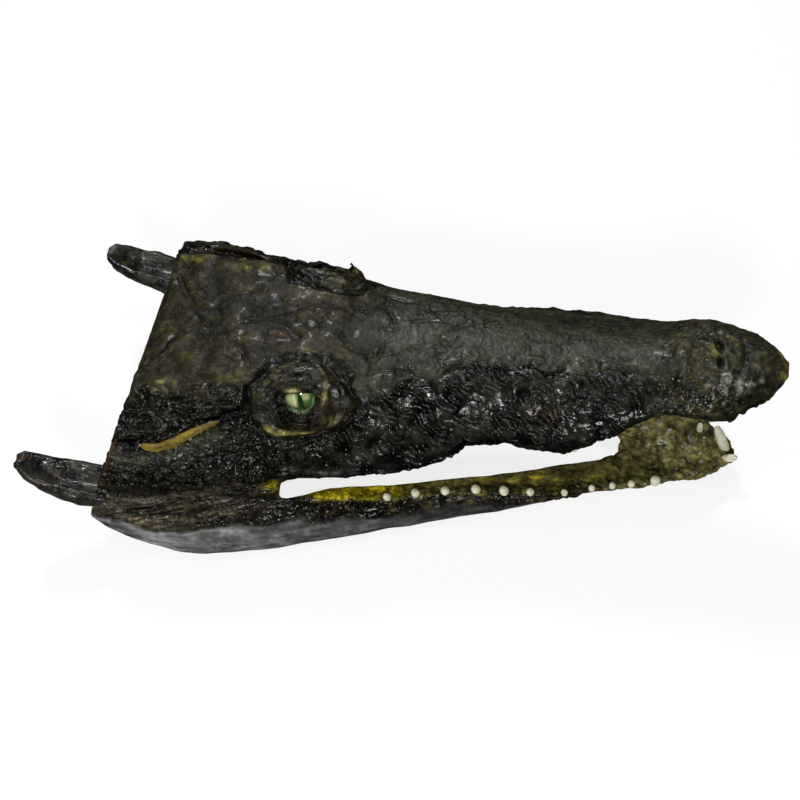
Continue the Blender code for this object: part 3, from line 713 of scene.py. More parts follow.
def raiseLines(height, zones, p, bent, bentSkull):
    # crease beside the smooth top of the snout, with a row of scales above it
    x, upper = zones["skull"][:, 0], zones["upper"]
    signed = zones["out"] - zones["crease"] + 1.6 * grain(p, 6, 63.0)
    crease = upper * ramp(x, 126, 140) * (1 - ramp(x, 292, 308)) * (1 - zones["under"])
    crease *= 1 - 0.8 * zones["far"]
    height -= crease * ramp(grain(p, 11, 64.0), -0.5, 0.2) * 2.0 * hump(signed, 1.3)
    height += crease * creased(p, 5, 65.0, 1.5, 0) * hump(signed + 4.2, 3.6)
    # grooves and ridges, the skull table's rim beaded
    for width, tall, line in headLines.values():
        height += upper * tall * along(bentSkull, line, width)
    beads = np.abs(np.sin(math.pi * bentSkull[:, 0] / 8.0))
    height += upper * 0.8 * beads * along(bentSkull, headLines["tableRim"][2], 2.6)
    bentJaw = bothSides(bent - np.array(headPlace["jawShift"]))
    for width, tall, line in jawLines.values():
        height += zones["lower"] * tall * along(bentJaw, line, width)


def raiseLids(height, zones, p):
    # folds under the eye, small scales over it, a groove round the orbit and a smooth rim at the glass
    edge, upper = zones["lidEdge"], zones["upper"]
    reach = zones["reach"] + 0.05 * grain(p, 9, 91.0)
    onLids = zones["orbit"] * ramp(-edge, 1.0, 3.0)
    below = ramp(-eyeFrame(zones["skull"])[1], -2, 5)
    scales = 0.6 * np.abs(grain(p, 5.5, 93.0)) + 0.3 * np.cos(2 * math.pi * edge / 4.5) - 0.4
    height += onLids * (1 - below) * scales
    height -= upper * 2.4 * hump(reach - 1.0 - 0.09 * below, 0.055 + 0.025 * (1 - below))
    height -= upper * (1 - below) * 1.1 * hump(reach - 0.84, 0.03)
    height += upper * 0.9 * hump(reach - 1.13, 0.07) * (0.5 + np.abs(grain(p, 5, 94.0)))


def raiseEarAndNostrils(height, zones, p):
    # ear hollow behind the flap, ringed with folds
    skull, upper, ring = zones["skull"], zones["upper"], earRing(zones)
    height += upper * (1 - ramp(ring, 1.1, 1.4)) * np.cos(2 * math.pi * ring / earHollow["step"])
    height -= upper * 2.0 * hump(ring, 0.5)
    # nostril disc: ringed, with wrinkles out from its middle, and two slits
    disc, reach, front = onNostrilDisc(skull)
    onTop = upper * ramp(skull[:, 2], 22, 28)
    height -= onTop * 1.6 * (0.3 + 0.7 * ramp(front, -8, 6)) * hump(reach - 1.12, 0.1)
    height += onTop * 0.9 * hump(reach - 0.9, 0.12)
    spokes = np.cos(11 * np.arctan2(disc[:, 1], disc[:, 0]) + 2 * grain(p, 9, 95.0))
    height += onTop * 0.45 * spokes * hump(reach - 0.75, 0.3)
    for gap in slitGaps(skull):
        height += onTop * 0.9 * hump(gap - 3.0, 1.0)
        height -= onTop * 4.0 * hump(gap, 1.5)


def skinRelief(zones):
    # height of the hide's folds and scales over its middle surface, in millimetres
    p = zones["points"] / mm
    bent = p + 1.6 * np.stack([grain(p, 14, seed) for seed in (3.1, 17.7, 41.3)], axis=1)
    bentSkull = bothSides(toSkull(bent * mm))
    height = np.zeros(len(p))
    raiseHide(height, zones, p, bent)
    raiseLines(height, zones, p, bent, bentSkull)
    raiseLids(height, zones, p)
    raiseEarAndNostrils(height, zones, p)
    # the cut edge behind is even
    height *= 1 - 0.8 * along(bentSkull, cutEdge, 6.0)
    return height


def sculptSkin(skin):
    zones = skinZones(skin)
    atGlass = ramp(zones["lidEdge"], -4.0, -1.0)
    below = (skinMaking["below"] + skinMaking["closeGaps"]) * (1 - atGlass)
    height = np.clip(skinRelief(zones), skinMaking["deepest"], skinMaking["below"] + skinMaking["over"])
    lift = (height * (1 - 0.7 * atGlass) - below) * mm
    points = zones["points"] + zones["normals"] * lift[:, None]
    low = boxLow.copy()
    low[2] = skinMaking["foot"]
    # the collapse works to a fixed small error, so it is done a thousand times larger
    writePoints(skin, np.clip(points, low, boxHigh) / mm)
    # most of the triangles stay where the hide is rough
    keep = 0.25 + 0.75 * zones["flank"] + 0.6 * zones["cheek"] + 0.75 * zones["orbit"] + 0.6 * zones["nose"]
    keep += 0.25 * zones["roof"] + 0.5 * zones["chin"] + 0.5 * zones["band"] + 0.1 * zones["top"]
    keep *= 1 - 0.8 * np.clip(zones["under"] + zones["inner"], 0, 1)
    keep *= np.where(zones["normals"][:, 2] < -0.3, 0.6, 1.0) * (1 - 0.2 * zones["far"])
    pickPoints(skin, "keep", np.clip(keep, 0, 0.9))
    ratio = skinMaking["triangles"] / (2 * len(skin.data.polygons))
    applyModifier(skin, "DECIMATE", ratio=ratio, vertex_group="keep", vertex_group_factor=0.02,
                  invert_vertex_group=True)
    writePoints(skin, readPoints(skin) * mm)
    takeUp(skin)
    bpy.ops.object.shade_smooth()


# Colours of the dried hide under its varnish, linear: first its stretches, then what is laid on them
skinPaint = {
    "top": (0.032, 0.033, 0.019),
    "flank": (0.0125, 0.0128, 0.0100),
    "roof": (0.0178, 0.0158, 0.0050),
    "cheek": (0.0080, 0.0074, 0.0052),
    "nose": (0.035, 0.035, 0.016),
    "band": (0.034, 0.030, 0.021),
    # the underside's paler hide, lightened further as a painted reflection of the pale floor
    "mandible": (0.190, 0.193, 0.196),
    "chin": (0.120, 0.108, 0.038),
    "inner": (0.120, 0.105, 0.034),
    "under": (0.050, 0.040, 0.020),
    "orbit": (0.0110, 0.0098, 0.0050),
    "ochre": (0.230, 0.180, 0.030),
    "rust": (0.110, 0.048, 0.014),
    "mustard": (0.80, 0.68, 0.016),
    "olive": (0.036, 0.034, 0.010),
    "grey": (0.085, 0.085, 0.080),
    "black": (0.004, 0.004, 0.004),
    "paintedShadeBlack": (0.001, 0.001, 0.001),
    "farTable": (0.17, 0.145, 0.022),
    "farLidHighlight": (0.085, 0.092, 0.050),
    "knob": (0.16, 0.15, 0.06),
    "earBelt": (0.024, 0.0245, 0.015),
    "earRings": (0.055, 0.052, 0.036),
    "cutRed": (0.055, 0.026, 0.010),
    "cutPale": (0.30, 0.19, 0.09),
    # pale drawn-out lines on the band are painted glints
    "drawnOut": (0.16, 0.145, 0.115),
    "chinHollows": (0.03, 0.026, 0.016),
    "paintedNoseGlints": (0.46, 0.47, 0.40),
    "besideGum": (0.07, 0.06, 0.02),
    # pale wear, also standing in for painted highlights on the jaw's wrinkles
    "wornAndGlinting": (0.26, 0.21, 0.11),
    "orbitRim": (0.17, 0.145, 0.020),
    "browArc": (0.19, 0.16, 0.06),
    "eyeCorner": (0.15, 0.14, 0.06),
    "cornerRed": (0.034, 0.014, 0.012),
    "paintedLidHighlight": (0.30, 0.28, 0.13),
    "lowLid": (0.009, 0.010, 0.007),
    "lowLidEdge": (0.27, 0.37, 0.21),
    "snoutTip": (0.40, 0.34, 0.03),
    "nostrilSpots": (0.24, 0.22, 0.05),
}
# Painted runs: share, width and points, on the upper head and on the lower jaw
paintRuns = {
    "farTable": ((1, 2.4, ((37, 41.6, 65.2), (46, 40.6, 64.9))), (1, 2.4, ((54.5, 41, 64.2), (58, 40.4, 64))),
                 (1, 2.6, ((-2, 50, 63.8), (8, 47.6, 64.5)))),
    "farLidHighlight": ((1, 3.0, ((93.7, 38.9, 59.9), (100.6, 36.9, 59.3), (106, 33.6, 57.5))),),
    "farHollowShade": ((1, 3.5, ((76, 31.5, 62.6), (83, 30.6, 62.4), (92, 28.2, 61.8))),),
    "betweenEyes": ((1, 7.0, ((55.7, 12, 65.5), (68, 3, 65), (80, -5, 64))),),
    "farBrow": ((1, 4.0, ((81, 27.9, 62.7), (90, 31, 61.6))),),
    "rustOnTable": ((1, 3.0, ((76, -12.6, 64.5), (85, -12.6, 63.5))),),
    "rustOnSnout": ((0.45, 3.5, ((229, -36, 24), (240, -37.5, 22))),),
    "paintedNoseGlints": ((1, 3.5, ((331, -19.8, 32.4), (343, -17, 32.2), (352, -13.5, 31.6))),
                  (1, 3.0, ((339, -24.4, 27.5), (345.7, -21.7, 27.7), (357, -16.2, 26)))),
    "noseLow": ((1, 4.2, ((305.5, -13.8, 30.1), (313, -21.2, 29.9), (321, -27.4, 27.3), (327, -30.3, 24.8),
                          (340.5, -28.8, 22.1), (352, -23.9, 18.3))),),
    "mouthCorner": ((1, 2.6, ((68, 85, 62), (73, 82, 60), (74, 81, 52))),),
    "ochreFolds": ((1, 5.0, ((80, 96, 50), (130, 95, 52), (175, 88, 56))),),
    "wornAndGlinting": ((1, 4.0, ((8, 97, 45), (22, 94.5, 50), (45, 90, 57), (62, 86, 61))),
             (0.6, 6.0, ((-20, 102, 32), (5, 99, 38), (40, 93, 42)))),
    "cornerRed": ((1, 3.3, ((110, -51, 45), (106, -57, 39))),),
    "snoutTip": ((1, 4.0, ((366, 12, 22), (371, 4, 21), (372.5, -5, 18))),),
    "nostrilSpots": ((1, 1.5, ((329.3, 1, 0), (331.5, -6, 0))), (1, 2.6, ((309, 9.7, 0), (313, 4, 0))),
                     (0.7, 1.2, ((336, 10, 0), (341, 5, 0), (343.5, 0, 0)))),
}
# Shades along the lower jaw: (X, share of the colour), and over the relief: (height, share)
shades = {
    "mandible": ((-20, 1.15), (50, 0.95), (95, 0.5), (200, 0.38)),
    "band": ((0, 1.3), (30, 0.7), (60, 0.32), (120, 0.26), (200, 0.4), (240, 0.8)),
    # over the relief: painted shade in the hollows, lighter high places partly wear and partly painted
    # highlight
    "relief": ((-2.2, 0.08), (-1.0, 0.3), (-0.2, 0.85), (0.5, 1.35), (1.2, 1.8)),
}


def lay(tint, colour, weight):
    # one colour over what is there, by its weight at each point
    tint += (np.array(skinPaint[colour]) - tint) * np.clip(weight, 0, 1)[:, None]


def marks(places, name):
    return sum(share * along(places, line, wide) for share, wide, line in paintRuns[name])


def onLine(zones, name, wide):
    # along one of the head's grooves or ridges, on both sides
    return along(zones["folded"], headLines[name][2], wide)


def paintTable(tint, zones):
    # skull table with its ochre far edge, the hide round the ear, grooves painted black as shade, and the cut
    # edge behind
    skull, folded, upper = zones["skull"], zones["folded"], zones["upper"]
    coarse, middle, small = zones["coarse"], zones["middle"], zones["small"]
    lay(tint, "farTable", upper * marks(skull, "farTable") * (0.55 + 0.6 * small))
    # painted highlight on the far lid's bulge
    lay(tint, "farLidHighlight", upper * marks(skull, "farLidHighlight") * (0.7 + 0.4 * small))
    # painted shade in the hollow by the far eye
    lay(tint, "black", upper * marks(skull, "farHollowShade") * 0.8)
    knob = onLine(zones, "tableKnob", 5.0) * ramp(small, 0.1, 0.6)
    lay(tint, "knob", upper * knob * zones["near"] * 0.8)
    lay(tint, "olive", zones["roof"] * ramp(middle + coarse, 0.2, 1.4) * 0.8)
    lay(tint, "earBelt", upper * zones["earBelt"] * (0.9 + 0.2 * small))
    lay(tint, "olive", zones["orbit"] * ramp(middle + small, 0.2, 1.2) * 0.9)
    lay(tint, "grey", along(folded, lipBand, 3.0) * (0.7 + 0.4 * small))
    # painted shade in the groove under the table's edge
    lay(tint, "black", upper * onLine(zones, "underTable", 5.0) * 0.8)
    ring = earRing(zones)
    ridges = 0.5 + 0.5 * np.cos(2 * math.pi * ring / earHollow["step"])
    lay(tint, "earRings", upper * (1 - ramp(ring, 1.05, 1.35)) * ridges * 0.9)
    # painted shade: the table's grooves and the orbit's roof groove darkened
    for groove in ("rearGroove", "backGroove", "slantGroove", "sideCrease", "upperCrease", "topCrease"):
        lay(tint, "black", upper * onLine(zones, groove, 1.5) * 0.75)
    lay(tint, "black", upper * onLine(zones, "orbitRoof", 2.4) * 0.9)
    lay(tint, "black", upper * marks(skull, "betweenEyes") * ramp(middle, -0.5, 0.3) * 0.7)
    lay(tint, "black", upper * marks(skull, "farBrow") * 0.7)
    lay(tint, "cutRed", along(folded, cutEdge, 2.2) * (0.8 + 0.3 * small))
    lay(tint, "cutPale", along(folded, cutEdge, 0.9) * (0.6 + 0.5 * small))
    rust = np.maximum(marks(skull, "rustOnTable"), marks(skull, "rustOnSnout"))
    lay(tint, "rust", rust * (0.4 + 0.5 * small))


def shadeJaws(tint, zones):
    # streaked grey underside, drawn-out lines on the dark band over it, and the chin's hollows
    p, x = zones["points"] / mm, zones["jaw"][:, 0]
    # grey underside: paler hide, lightened further as a painted reflection of the pale floor
    streaks = 0.35 * grain(p, (40, 40, 3.0), 221.0)
    tint *= (1 + zones["mandible"] * (streaks + follow(x, shades["mandible"]) - 1))[:, None]
    tint *= (1 + zones["band"] * (follow(x, shades["band"]) - 1))[:, None]
    # painted glints: pale drawn-out lines on the rear of the band
    drawnOut = ramp(grain(p, (34, 10, 2.0), 233.0), 0.35, 0.9) * (1 - ramp(x, 40, 80))
    lay(tint, "drawnOut", zones["band"] * drawnOut * 0.55)
    hollows = ramp(zones["middle"] + 0.6 * zones["small"], 0.35, 0.9)
    lay(tint, "chinHollows", zones["chin"] * hollows * 0.75)


def paintSnout(tint, zones):
    # painted highlights on the nose, painted shade on its lower side, and the snout's lower border painted
    # almost black as shade
    skull, small = zones["skull"], zones["small"]
    overLip = skull[:, 2] - follow(skull[:, 0], lipEdge)
    patchy = ramp(small + 0.4 * zones["middle"], -0.1, 0.6)
    # painted highlights, in patches, on the side of the nose
    lay(tint, "paintedNoseGlints", zones["nose"] * marks(skull, "paintedNoseGlints") * patchy * 0.8)
    # painted shade on the nose's lower side
    low = (1 - ramp(overLip, 9, 18)) * (1 - ramp(skull[:, 0], 358, 370))
    low = zones["nose"] * np.maximum(low, marks(skull, "noseLow") * (0.75 + 0.3 * small))
    lay(tint, "black", low * 0.9)
    # painted shade: the flank almost black towards the lip
    lay(tint, "black", zones["flank"] * (1 - ramp(overLip, 5, 15)))


def paintGums(tint, zones):
    # yellow along the lower jaw's top, strongest near the mouth's corner, and in the corner itself
    p, jaw, band = zones["points"] / mm, zones["jaw"], zones["band"]
    x, folded, middle, small = jaw[:, 0], bothSides(jaw), zones["middle"], zones["small"]
    gum = zones["lower"] * (1 - ramp(follow(x, gumLine) - jaw[:, 2], 0.5, 3.0))
    gum = gum * ramp(x, 89, 97) * (1 - zones["chin"])
    lay(tint, "inner", gum * ramp(x, 110, 150) * (0.75 + 0.4 * middle))
    lining = np.maximum(zones["inner"], gum)
    lay(tint, "mustard", hump(x - 112, 32, 4) * lining * (0.9 + 0.3 * middle))
    lay(tint, "mustard", hump(x - 215, 50, 4) * lining * ramp(middle + 0.5 * small, 0.1, 0.9) * 0.45)
    lay(tint, "besideGum", band * ramp(x, 90, 120) * ramp(0.7 * middle + small, 0.25, 0.8) * 0.6)
    lay(tint, "mustard", marks(folded, "mouthCorner") * 0.5)
    lay(tint, "ochre", band * marks(folded, "ochreFolds") * ramp(small, 0.15, 0.7) * 0.6)
    # pale worn lines along the jaw corner's wrinkles, partly painted highlights on them
    patchy = ramp(grain(p, (12, 5, 2.2), 229.0), -0.1, 0.6)
    lay(tint, "wornAndGlinting", zones["lower"] * marks(folded, "wornAndGlinting") * patchy * 0.8)


def paintLids(tint, zones):
    # orbit's rims, the eye's front corner, and the lids' edges at the glass, with a painted highlight and a
    # painted shadow line at the upper one
    skull, upper, small = zones["skull"], zones["upper"], zones["small"]
    orbit, edge, x = zones["orbit"], zones["lidEdge"], zones["skull"][:, 0]
    ahead, rise = eyeFrame(skull)[:2]
    rim = hump(zones["reach"] - 0.96, 0.07) * ramp(-rise, 12, 16) * ramp(x, 72, 84) * (1 - ramp(x, 103, 110))
    lay(tint, "orbitRim", upper * rim * (0.75 + 0.4 * small))
    arc = onLine(zones, "frontArc", 1.1) * (0.45 + 0.5 * small)
    lay(tint, "browArc", upper * arc * zones["near"])
    lay(tint, "eyeCorner", upper * onLine(zones, "frontCorner", 1.3) * zones["near"] * 0.8)
    lay(tint, "cornerRed", orbit * marks(skull, "cornerRed") * 0.7)
    # painted highlight over the upper lid's edge
    lay(tint, "paintedLidHighlight", hump(ahead + 0.6, 4.6, 4) * hump(edge + 2.6, 1.1) * (rise > 0) * 0.85)
    # painted shadow line under the upper lid's edge
    lay(tint, "paintedShadeBlack", orbit * hump(edge + 0.2, 0.8) * (rise > 0) * 0.9)
    under = orbit * ramp(-rise, 1, 4)
    lay(tint, "lowLid", under * ramp(edge, -4.0, -1.5) * 0.8)
    lay(tint, "lowLidEdge", under * hump(edge + 0.2, 0.45) * ramp(ahead, -8, -4) * 0.9)


def paintNostrils(tint, zones):
    # yellow tip of the snout, spots round the nostrils, and painted shade in their slits and in the disc's
    # front groove
    skull, nose, small = zones["skull"], zones["nose"], zones["small"]
    lay(tint, "snoutTip", zones["upper"] * marks(skull, "snoutTip") * (0.6 + 0.5 * small))
    lay(tint, "nostrilSpots", nose * marks(skull * [1, 1, 0], "nostrilSpots") * (0.35 + 0.6 * small))
    # painted shade in the nostril slits
    lay(tint, "paintedShadeBlack", nose * hump(np.minimum(*slitGaps(skull)), 1.9, 4))
    disc, reach, front = onNostrilDisc(skull)
    # painted shade in the groove round the disc's front
    lay(tint, "black", nose * hump(reach - 1.12, 0.07) * ramp(front, -4, 8) * 0.9)


def hideFinish(zones):
    # shares of the pale specks, the small scales, the dull varnish and the even colour
    upper, orbit, belt = zones["upper"], zones["orbit"], zones["earBelt"]
    nearGlass = orbit * ramp(zones["lidEdge"], -8, -2)
    fleck = 0.1 + 0.1 * zones["cheek"] + 0.45 * zones["band"] + 0.35 * zones["roof"] + 0.6 * zones["nose"]
    fleck += 0.8 * zones["chin"] - 0.1 * zones["top"] - 0.1 * zones["flank"] + 0.1 * orbit
    fleck = fleck * (1 - nearGlass) * (1 - 0.9 * upper * belt)
    fine = 0.3 + 0.7 * zones["cheek"] - 0.12 * zones["roof"] - 0.05 * zones["flank"]
    fine += (0.3 + 0.4 * ramp(zones["jaw"][:, 0], 60, 100)) * zones["band"]
    fine += 0.35 * zones["nose"] - 0.1 * zones["top"] - 0.25 * zones["mandible"]
    fine = np.clip(fine, 0, 1) * (1 - 0.3 * orbit) * (1 - 0.85 * nearGlass) * (1 - 0.7 * upper * belt)
    dull = 0.75 * zones["top"] + 0.55 * zones["mandible"] + 0.15 * zones["nose"] + 0.4 * zones["inner"]
    dull += 1.0 * zones["roof"] + 0.4 * zones["chin"] + 0.6 * orbit + 0.15 * zones["flank"]
    dull += 0.5 * upper * belt
    even = np.clip(zones["mandible"] + 0.5 * zones["top"], 0, 1)
    return np.clip(np.stack([fleck, fine, dull, even], axis=1), 0, 1)


def paintSkin(skin):
    zones = skinZones(skin)
    p = zones["points"] / mm
    zones["folded"] = bothSides(zones["skull"])
    zones["near"] = ramp(-zones["skull"][:, 1], 0, 10)
    zones["earBelt"] = onLine(zones, "earBand", 6.0)
    for name, size, seed in (("coarse", 22, 207.0), ("middle", 10, 201.0), ("small", 4, 203.0)):
        zones[name] = grain(p, size, seed)
    tint = np.tile(np.array(skinPaint["flank"]), (len(p), 1))
    for zone in ("roof", "cheek", "top", "nose", "mandible", "chin", "inner", "under", "orbit", "band"):
        lay(tint, zone, zones[zone])
    for stage in (paintTable, shadeJaws, paintSnout, paintGums, paintLids, paintNostrils):
        stage(tint, zones)
    mottled = 1 + 0.35 * zones["middle"] + 0.4 * zones["small"] + 0.2 * zones["coarse"]
    tint *= np.clip(mottled, 0.3, 2)[:, None]
    # painted shade in the hollows and almost black gaps among the flank's ridges; high places a little
    # lighter
    relief = skinRelief(zones)
    shadedGaps = ramp(-grain(p, (10, 8, 7), 247.0) - 0.25 * relief, -0.1, 0.5)
    tint *= (1 - 0.85 * zones["flank"] * shadedGaps)[:, None]
    # the lighter high places are partly wear and partly painted highlight
    tint *= follow(relief, shades["relief"])[:, None]
    addColour(skin, "tint", np.clip(tint, 0.001, 1))
    addColour(skin, "finish", hideFinish(zones))
    count, strong = foldRuns(zones)
    addVector(skin, "folds", np.stack([count, strong, np.zeros(len(p))], axis=1))


def addColour(piece, name, values):
    layer = piece.data.color_attributes.new(name=name, type="FLOAT_COLOR", domain="POINT")
    rgba = np.ones((len(values), 4))
    rgba[:, :values.shape[1]] = values
    layer.data.foreach_set("color", rgba.ravel())


def addVector(piece, name, values):
    layer = piece.data.attributes.new(name=name, type="FLOAT_VECTOR", domain="POINT")
    layer.data.foreach_set("vector", values.ravel())


class Shading:
    # a material's nodes, made one call at a time
    def __init__(self, name):
        self.material = bpy.data.materials.new(name)
        self.material.use_nodes = True
        self.nodes = self.material.node_tree.nodes
        self.links = self.material.node_tree.links
        self.shader = self.nodes["Principled BSDF"]
        self.place = self.nodes.new("ShaderNodeTexCoord").outputs["Object"]

    def feed(self, socket, value):
        if isinstance(value, bpy.types.NodeSocket):
            self.links.new(value, socket)
        elif isinstance(value, (tuple, list)) and len(value) == 3 and socket.type == "RGBA":
            socket.default_value = (*value, 1.0)
        else:
            socket.default_value = value

    def noise(self, size, detail=2.0, stretch=None):
        # noise with cells about size millimetres across
        node = self.nodes.new("ShaderNodeTexNoise")
        node.inputs["Scale"].default_value = 1000.0 / size
        node.inputs["Detail"].default_value = detail
        place = self.place
        if stretch:
            mapping = self.nodes.new("ShaderNodeMapping")
            mapping.inputs["Scale"].default_value = stretch
            self.links.new(place, mapping.inputs["Vector"])
            place = mapping.outputs["Vector"]
        self.links.new(place, node.inputs["Vector"])
        return node.outputs["Fac"]

    def cells(self, size, feature="DISTANCE_TO_EDGE", bend=0.0):
        # irregular cells about size millimetres across, their edges bent by up to bend millimetres
        node = self.nodes.new("ShaderNodeTexVoronoi")
        node.feature = feature
        node.inputs["Scale"].default_value = 1000.0 / size
        place = self.place
        if bend:
            sway = self.nodes.new("ShaderNodeTexNoise")
            sway.inputs["Scale"].default_value = 1400.0 / size
            self.links.new(place, sway.inputs["Vector"])
            step = self.nodes.new("ShaderNodeVectorMath")
            step.operation = "MULTIPLY_ADD"
            self.links.new(sway.outputs["Color"], step.inputs[0])
            step.inputs[1].default_value = (2 * bend * mm,) * 3
            self.links.new(place, step.inputs[2])
            place = step.outputs["Vector"]
        self.links.new(place, node.inputs["Vector"])
        return node.outputs["Distance"]

    def maths(self, operation, first, second=0.0):
        node = self.nodes.new("ShaderNodeMath")
        node.operation = operation
        self.feed(node.inputs[0], first)
        self.feed(node.inputs[1], second)
        return node.outputs[0]

    def between(self, value, low, high, start=0.0, end=1.0):
        node = self.nodes.new("ShaderNodeMapRange")
        for socket, number in zip(("From Min", "From Max", "To Min", "To Max"), (low, high, start, end)):
            node.inputs[socket].default_value = number
        self.feed(node.inputs["Value"], value)
        return node.outputs["Result"]

    def mix(self, weight, first, second, way="MIX"):
        node = self.nodes.new("ShaderNodeMix")
        node.data_type = "RGBA"
        node.blend_type = way
        self.feed(node.inputs["Factor"], weight)
        for name, value in (("A", first), ("B", second)):
            self.feed([s for s in node.inputs if s.name == name and s.type == "RGBA"][0], value)
        return [s for s in node.outputs if s.type == "RGBA"][0]

    def times(self, colour, factor):
        return self.mix(1.0, colour, factor, "MULTIPLY")

    def painted(self, name):
        node = self.nodes.new("ShaderNodeAttribute")
        node.attribute_name = name
        return node.outputs

    def grey(self, value):
        node = self.nodes.new("ShaderNodeCombineColor")
        for socket in node.inputs:
            self.feed(socket, value)
        return node.outputs["Color"]

    def channels(self, colour):
        node = self.nodes.new("ShaderNodeSeparateColor")
        self.links.new(colour, node.inputs["Color"])
        return node.outputs

    def bump(self, height, depth, under=None):
        # depth in millimetres
        node = self.nodes.new("ShaderNodeBump")
        node.inputs["Distance"].default_value = depth * mm
        self.feed(node.inputs["Height"], height)
        if under:
            self.links.new(under, node.inputs["Normal"])
        return node.outputs["Normal"]

    def finish(self, colour, roughness, normal=None, **fixed):
        self.feed(self.shader.inputs["Base Color"], colour)
        self.feed(self.shader.inputs["Roughness"], roughness)
        if normal:
            self.links.new(normal, self.shader.inputs["Normal"])
        for name, value in fixed.items():
            self.feed(self.shader.inputs[name.replace("_", " ")], value)
        return self.material


# Cell sizes of the hide's pattern and depths of its relief, in millimetres
hideVarnish = {
    "cloud": 3.2,
    "darkCloud": (0.55, 0.55, 0.55),
    "paleCloud": (1.7, 1.62, 1.45),
    "scales": 2.7,
    "net": 8.0,
    "netPatches": 17,
    "drawnOut": 2.6,
    "specks": 2.8,
    "speckPatches": 14,
    "speckColour": (0.15, 0.13, 0.04),
    "lumps": 4.2,
    "pores": 1.3,
    "gloss": 6,
    "foldDepth": 0.9,
    "lumpDepth": 1.6,
    "scaleDepth": 0.55,
    "poreDepth": 0.3,
    "netDepth": 0.35,
}


def varnishedHide():
    s, look = Shading("varnishedHide"), hideVarnish
    tint = s.painted("tint")["Color"]
    finish = s.painted("finish")
    fleckShare, fineShare, dullShare = s.channels(finish["Color"])[:3]
    even = finish["Alpha"]
    folds = s.nodes.new("ShaderNodeSeparateXYZ")
    s.links.new(s.painted("folds")["Vector"], folds.inputs["Vector"])
    # patches, small scales with painted shade in the gaps between them, and painted shade in a net of thin
    # creases
    patchy = s.between(even, 0.0, 1.0, 1.0, 0.3)
    cloud = s.maths("MULTIPLY", s.between(s.noise(look["cloud"], 4.0), 0.38, 0.66), patchy)
    colour = s.mix(cloud, s.times(tint, look["darkCloud"]), s.times(tint, look["paleCloud"]))
    domes = s.between(s.cells(look["scales"], "F1"), 0.1, 0.62, 1.0, 0.0)
    shadedGaps = s.between(domes, 0.0, 0.45, 0.45, 1.0)
    shadedGaps = s.maths("ADD", s.maths("MULTIPLY", shadedGaps, fineShare), s.maths("SUBTRACT", 1.0, fineShare))
    net = s.between(s.cells(look["net"], bend=3.0), 0.015, 0.09)
    net = s.maths("MAXIMUM", net, s.between(s.noise(look["netPatches"], 2.0), 0.5, 0.6, 1.0, 0.0))
    net = s.maths("MAXIMUM", net, s.between(even, 0.7, 1.0))
    # painted shade between the scales and along the net's creases
    colour = s.times(colour, s.grey(s.maths("MULTIPLY", shadedGaps, s.between(net, 0.0, 1.0, 0.35, 1.0))))
    # fine lines along the even stretches, and pale specks
    drawnOut = s.between(s.noise(look["drawnOut"], 3.0, (0.1, 0.5, 1.0)), 0.3, 0.7, 0.5, 1.5)
    colour = s.mix(even, colour, s.times(colour, s.grey(drawnOut)))
    specks = s.between(s.noise(look["specks"], 1.0), 0.58, 0.72)
    spread = s.between(s.noise(look["speckPatches"], 2.0), 0.42, 0.62)
    share = s.maths("MULTIPLY", s.maths("MULTIPLY", specks, spread), s.maths("MULTIPLY", fleckShare, 0.7))
    colour = s.mix(share, colour, look["speckColour"])
    # relief: the folds' rolls, lumps, scales, pores and the net
    rolls = s.maths("ABSOLUTE", s.maths("SINE", s.maths("MULTIPLY", folds.outputs["X"], math.pi)))
    rolls = s.maths("MULTIPLY", s.maths("POWER", rolls, 0.7), folds.outputs["Y"])
    normal = s.bump(rolls, look["foldDepth"])
    amount = s.maths("ADD", s.maths("MULTIPLY", fineShare, 0.9), 0.06)
    for height, depth in ((s.noise(look["lumps"], 1.5), "lumpDepth"), (domes, "scaleDepth"),
                          (s.noise(look["pores"], 2.0), "poreDepth")):
        normal = s.bump(s.maths("MULTIPLY", height, amount), look[depth], normal)
    normal = s.bump(net, look["netDepth"], normal)
    gloss = s.between(s.noise(look["gloss"], 2.0), 0.3, 0.7, 0.1, 0.26)
    rough = s.maths("ADD", gloss, s.maths("MULTIPLY", dullShare, 0.34))
    return s.finish(colour, rough, normal, Specular_IOR_Level=0.25, Coat_Weight=0.05, Coat_Roughness=0.06)


skin = makeSkinBase()
print("skin base:", len(skin.data.vertices), "points")
sculptSkin(skin)
print("skin sculpted:", len(skin.data.polygons), "triangles")
paintSkin(skin)
skin.data.materials.append(varnishedHide())
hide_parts(*skinMaking["nodes"])
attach(skin, "root")

# Glass eyes: places and sizes in parts of the radius, ahead and up
glassEye = {
    "nodes": {-1: "eye_right", 1: "eye_left"},
    "gap": 0.1,  # under the solid ball's surface, in millimetres
    "iris": (0.060, 0.130, 0.035),
    "rays": 1.8,
    "irisMiddle": (0.05, -0.15),
    "irisEdge": (0.012, 0.030, 0.009),
    "low": (0.050, 0.082, 0.022),
    "front": (0.035, 0.150, 0.045),
    "pale": (0.46, 0.50, 0.23),
    "palePatches": ((-0.15, -0.08, 0.32, 0.44), (0.53, 0.08, 0.28, 0.22)),
    # a painted highlight streak on the glass
    "highlightStreak": (0.66, 0.70, 0.42),
    "highlightStreakOval": (-0.03, -0.07, 0.05, 0.42),
    "pupil": (0.010, 0.040, 0.007),
    "pupilMiddle": (0.24, -0.2),
    "pupilHalf": (0.13, 0.52),
    "ring": (0.26, 0.42, 0.20),
    "ringOval": (0.12, -0.12, 0.64, 0.63),
}


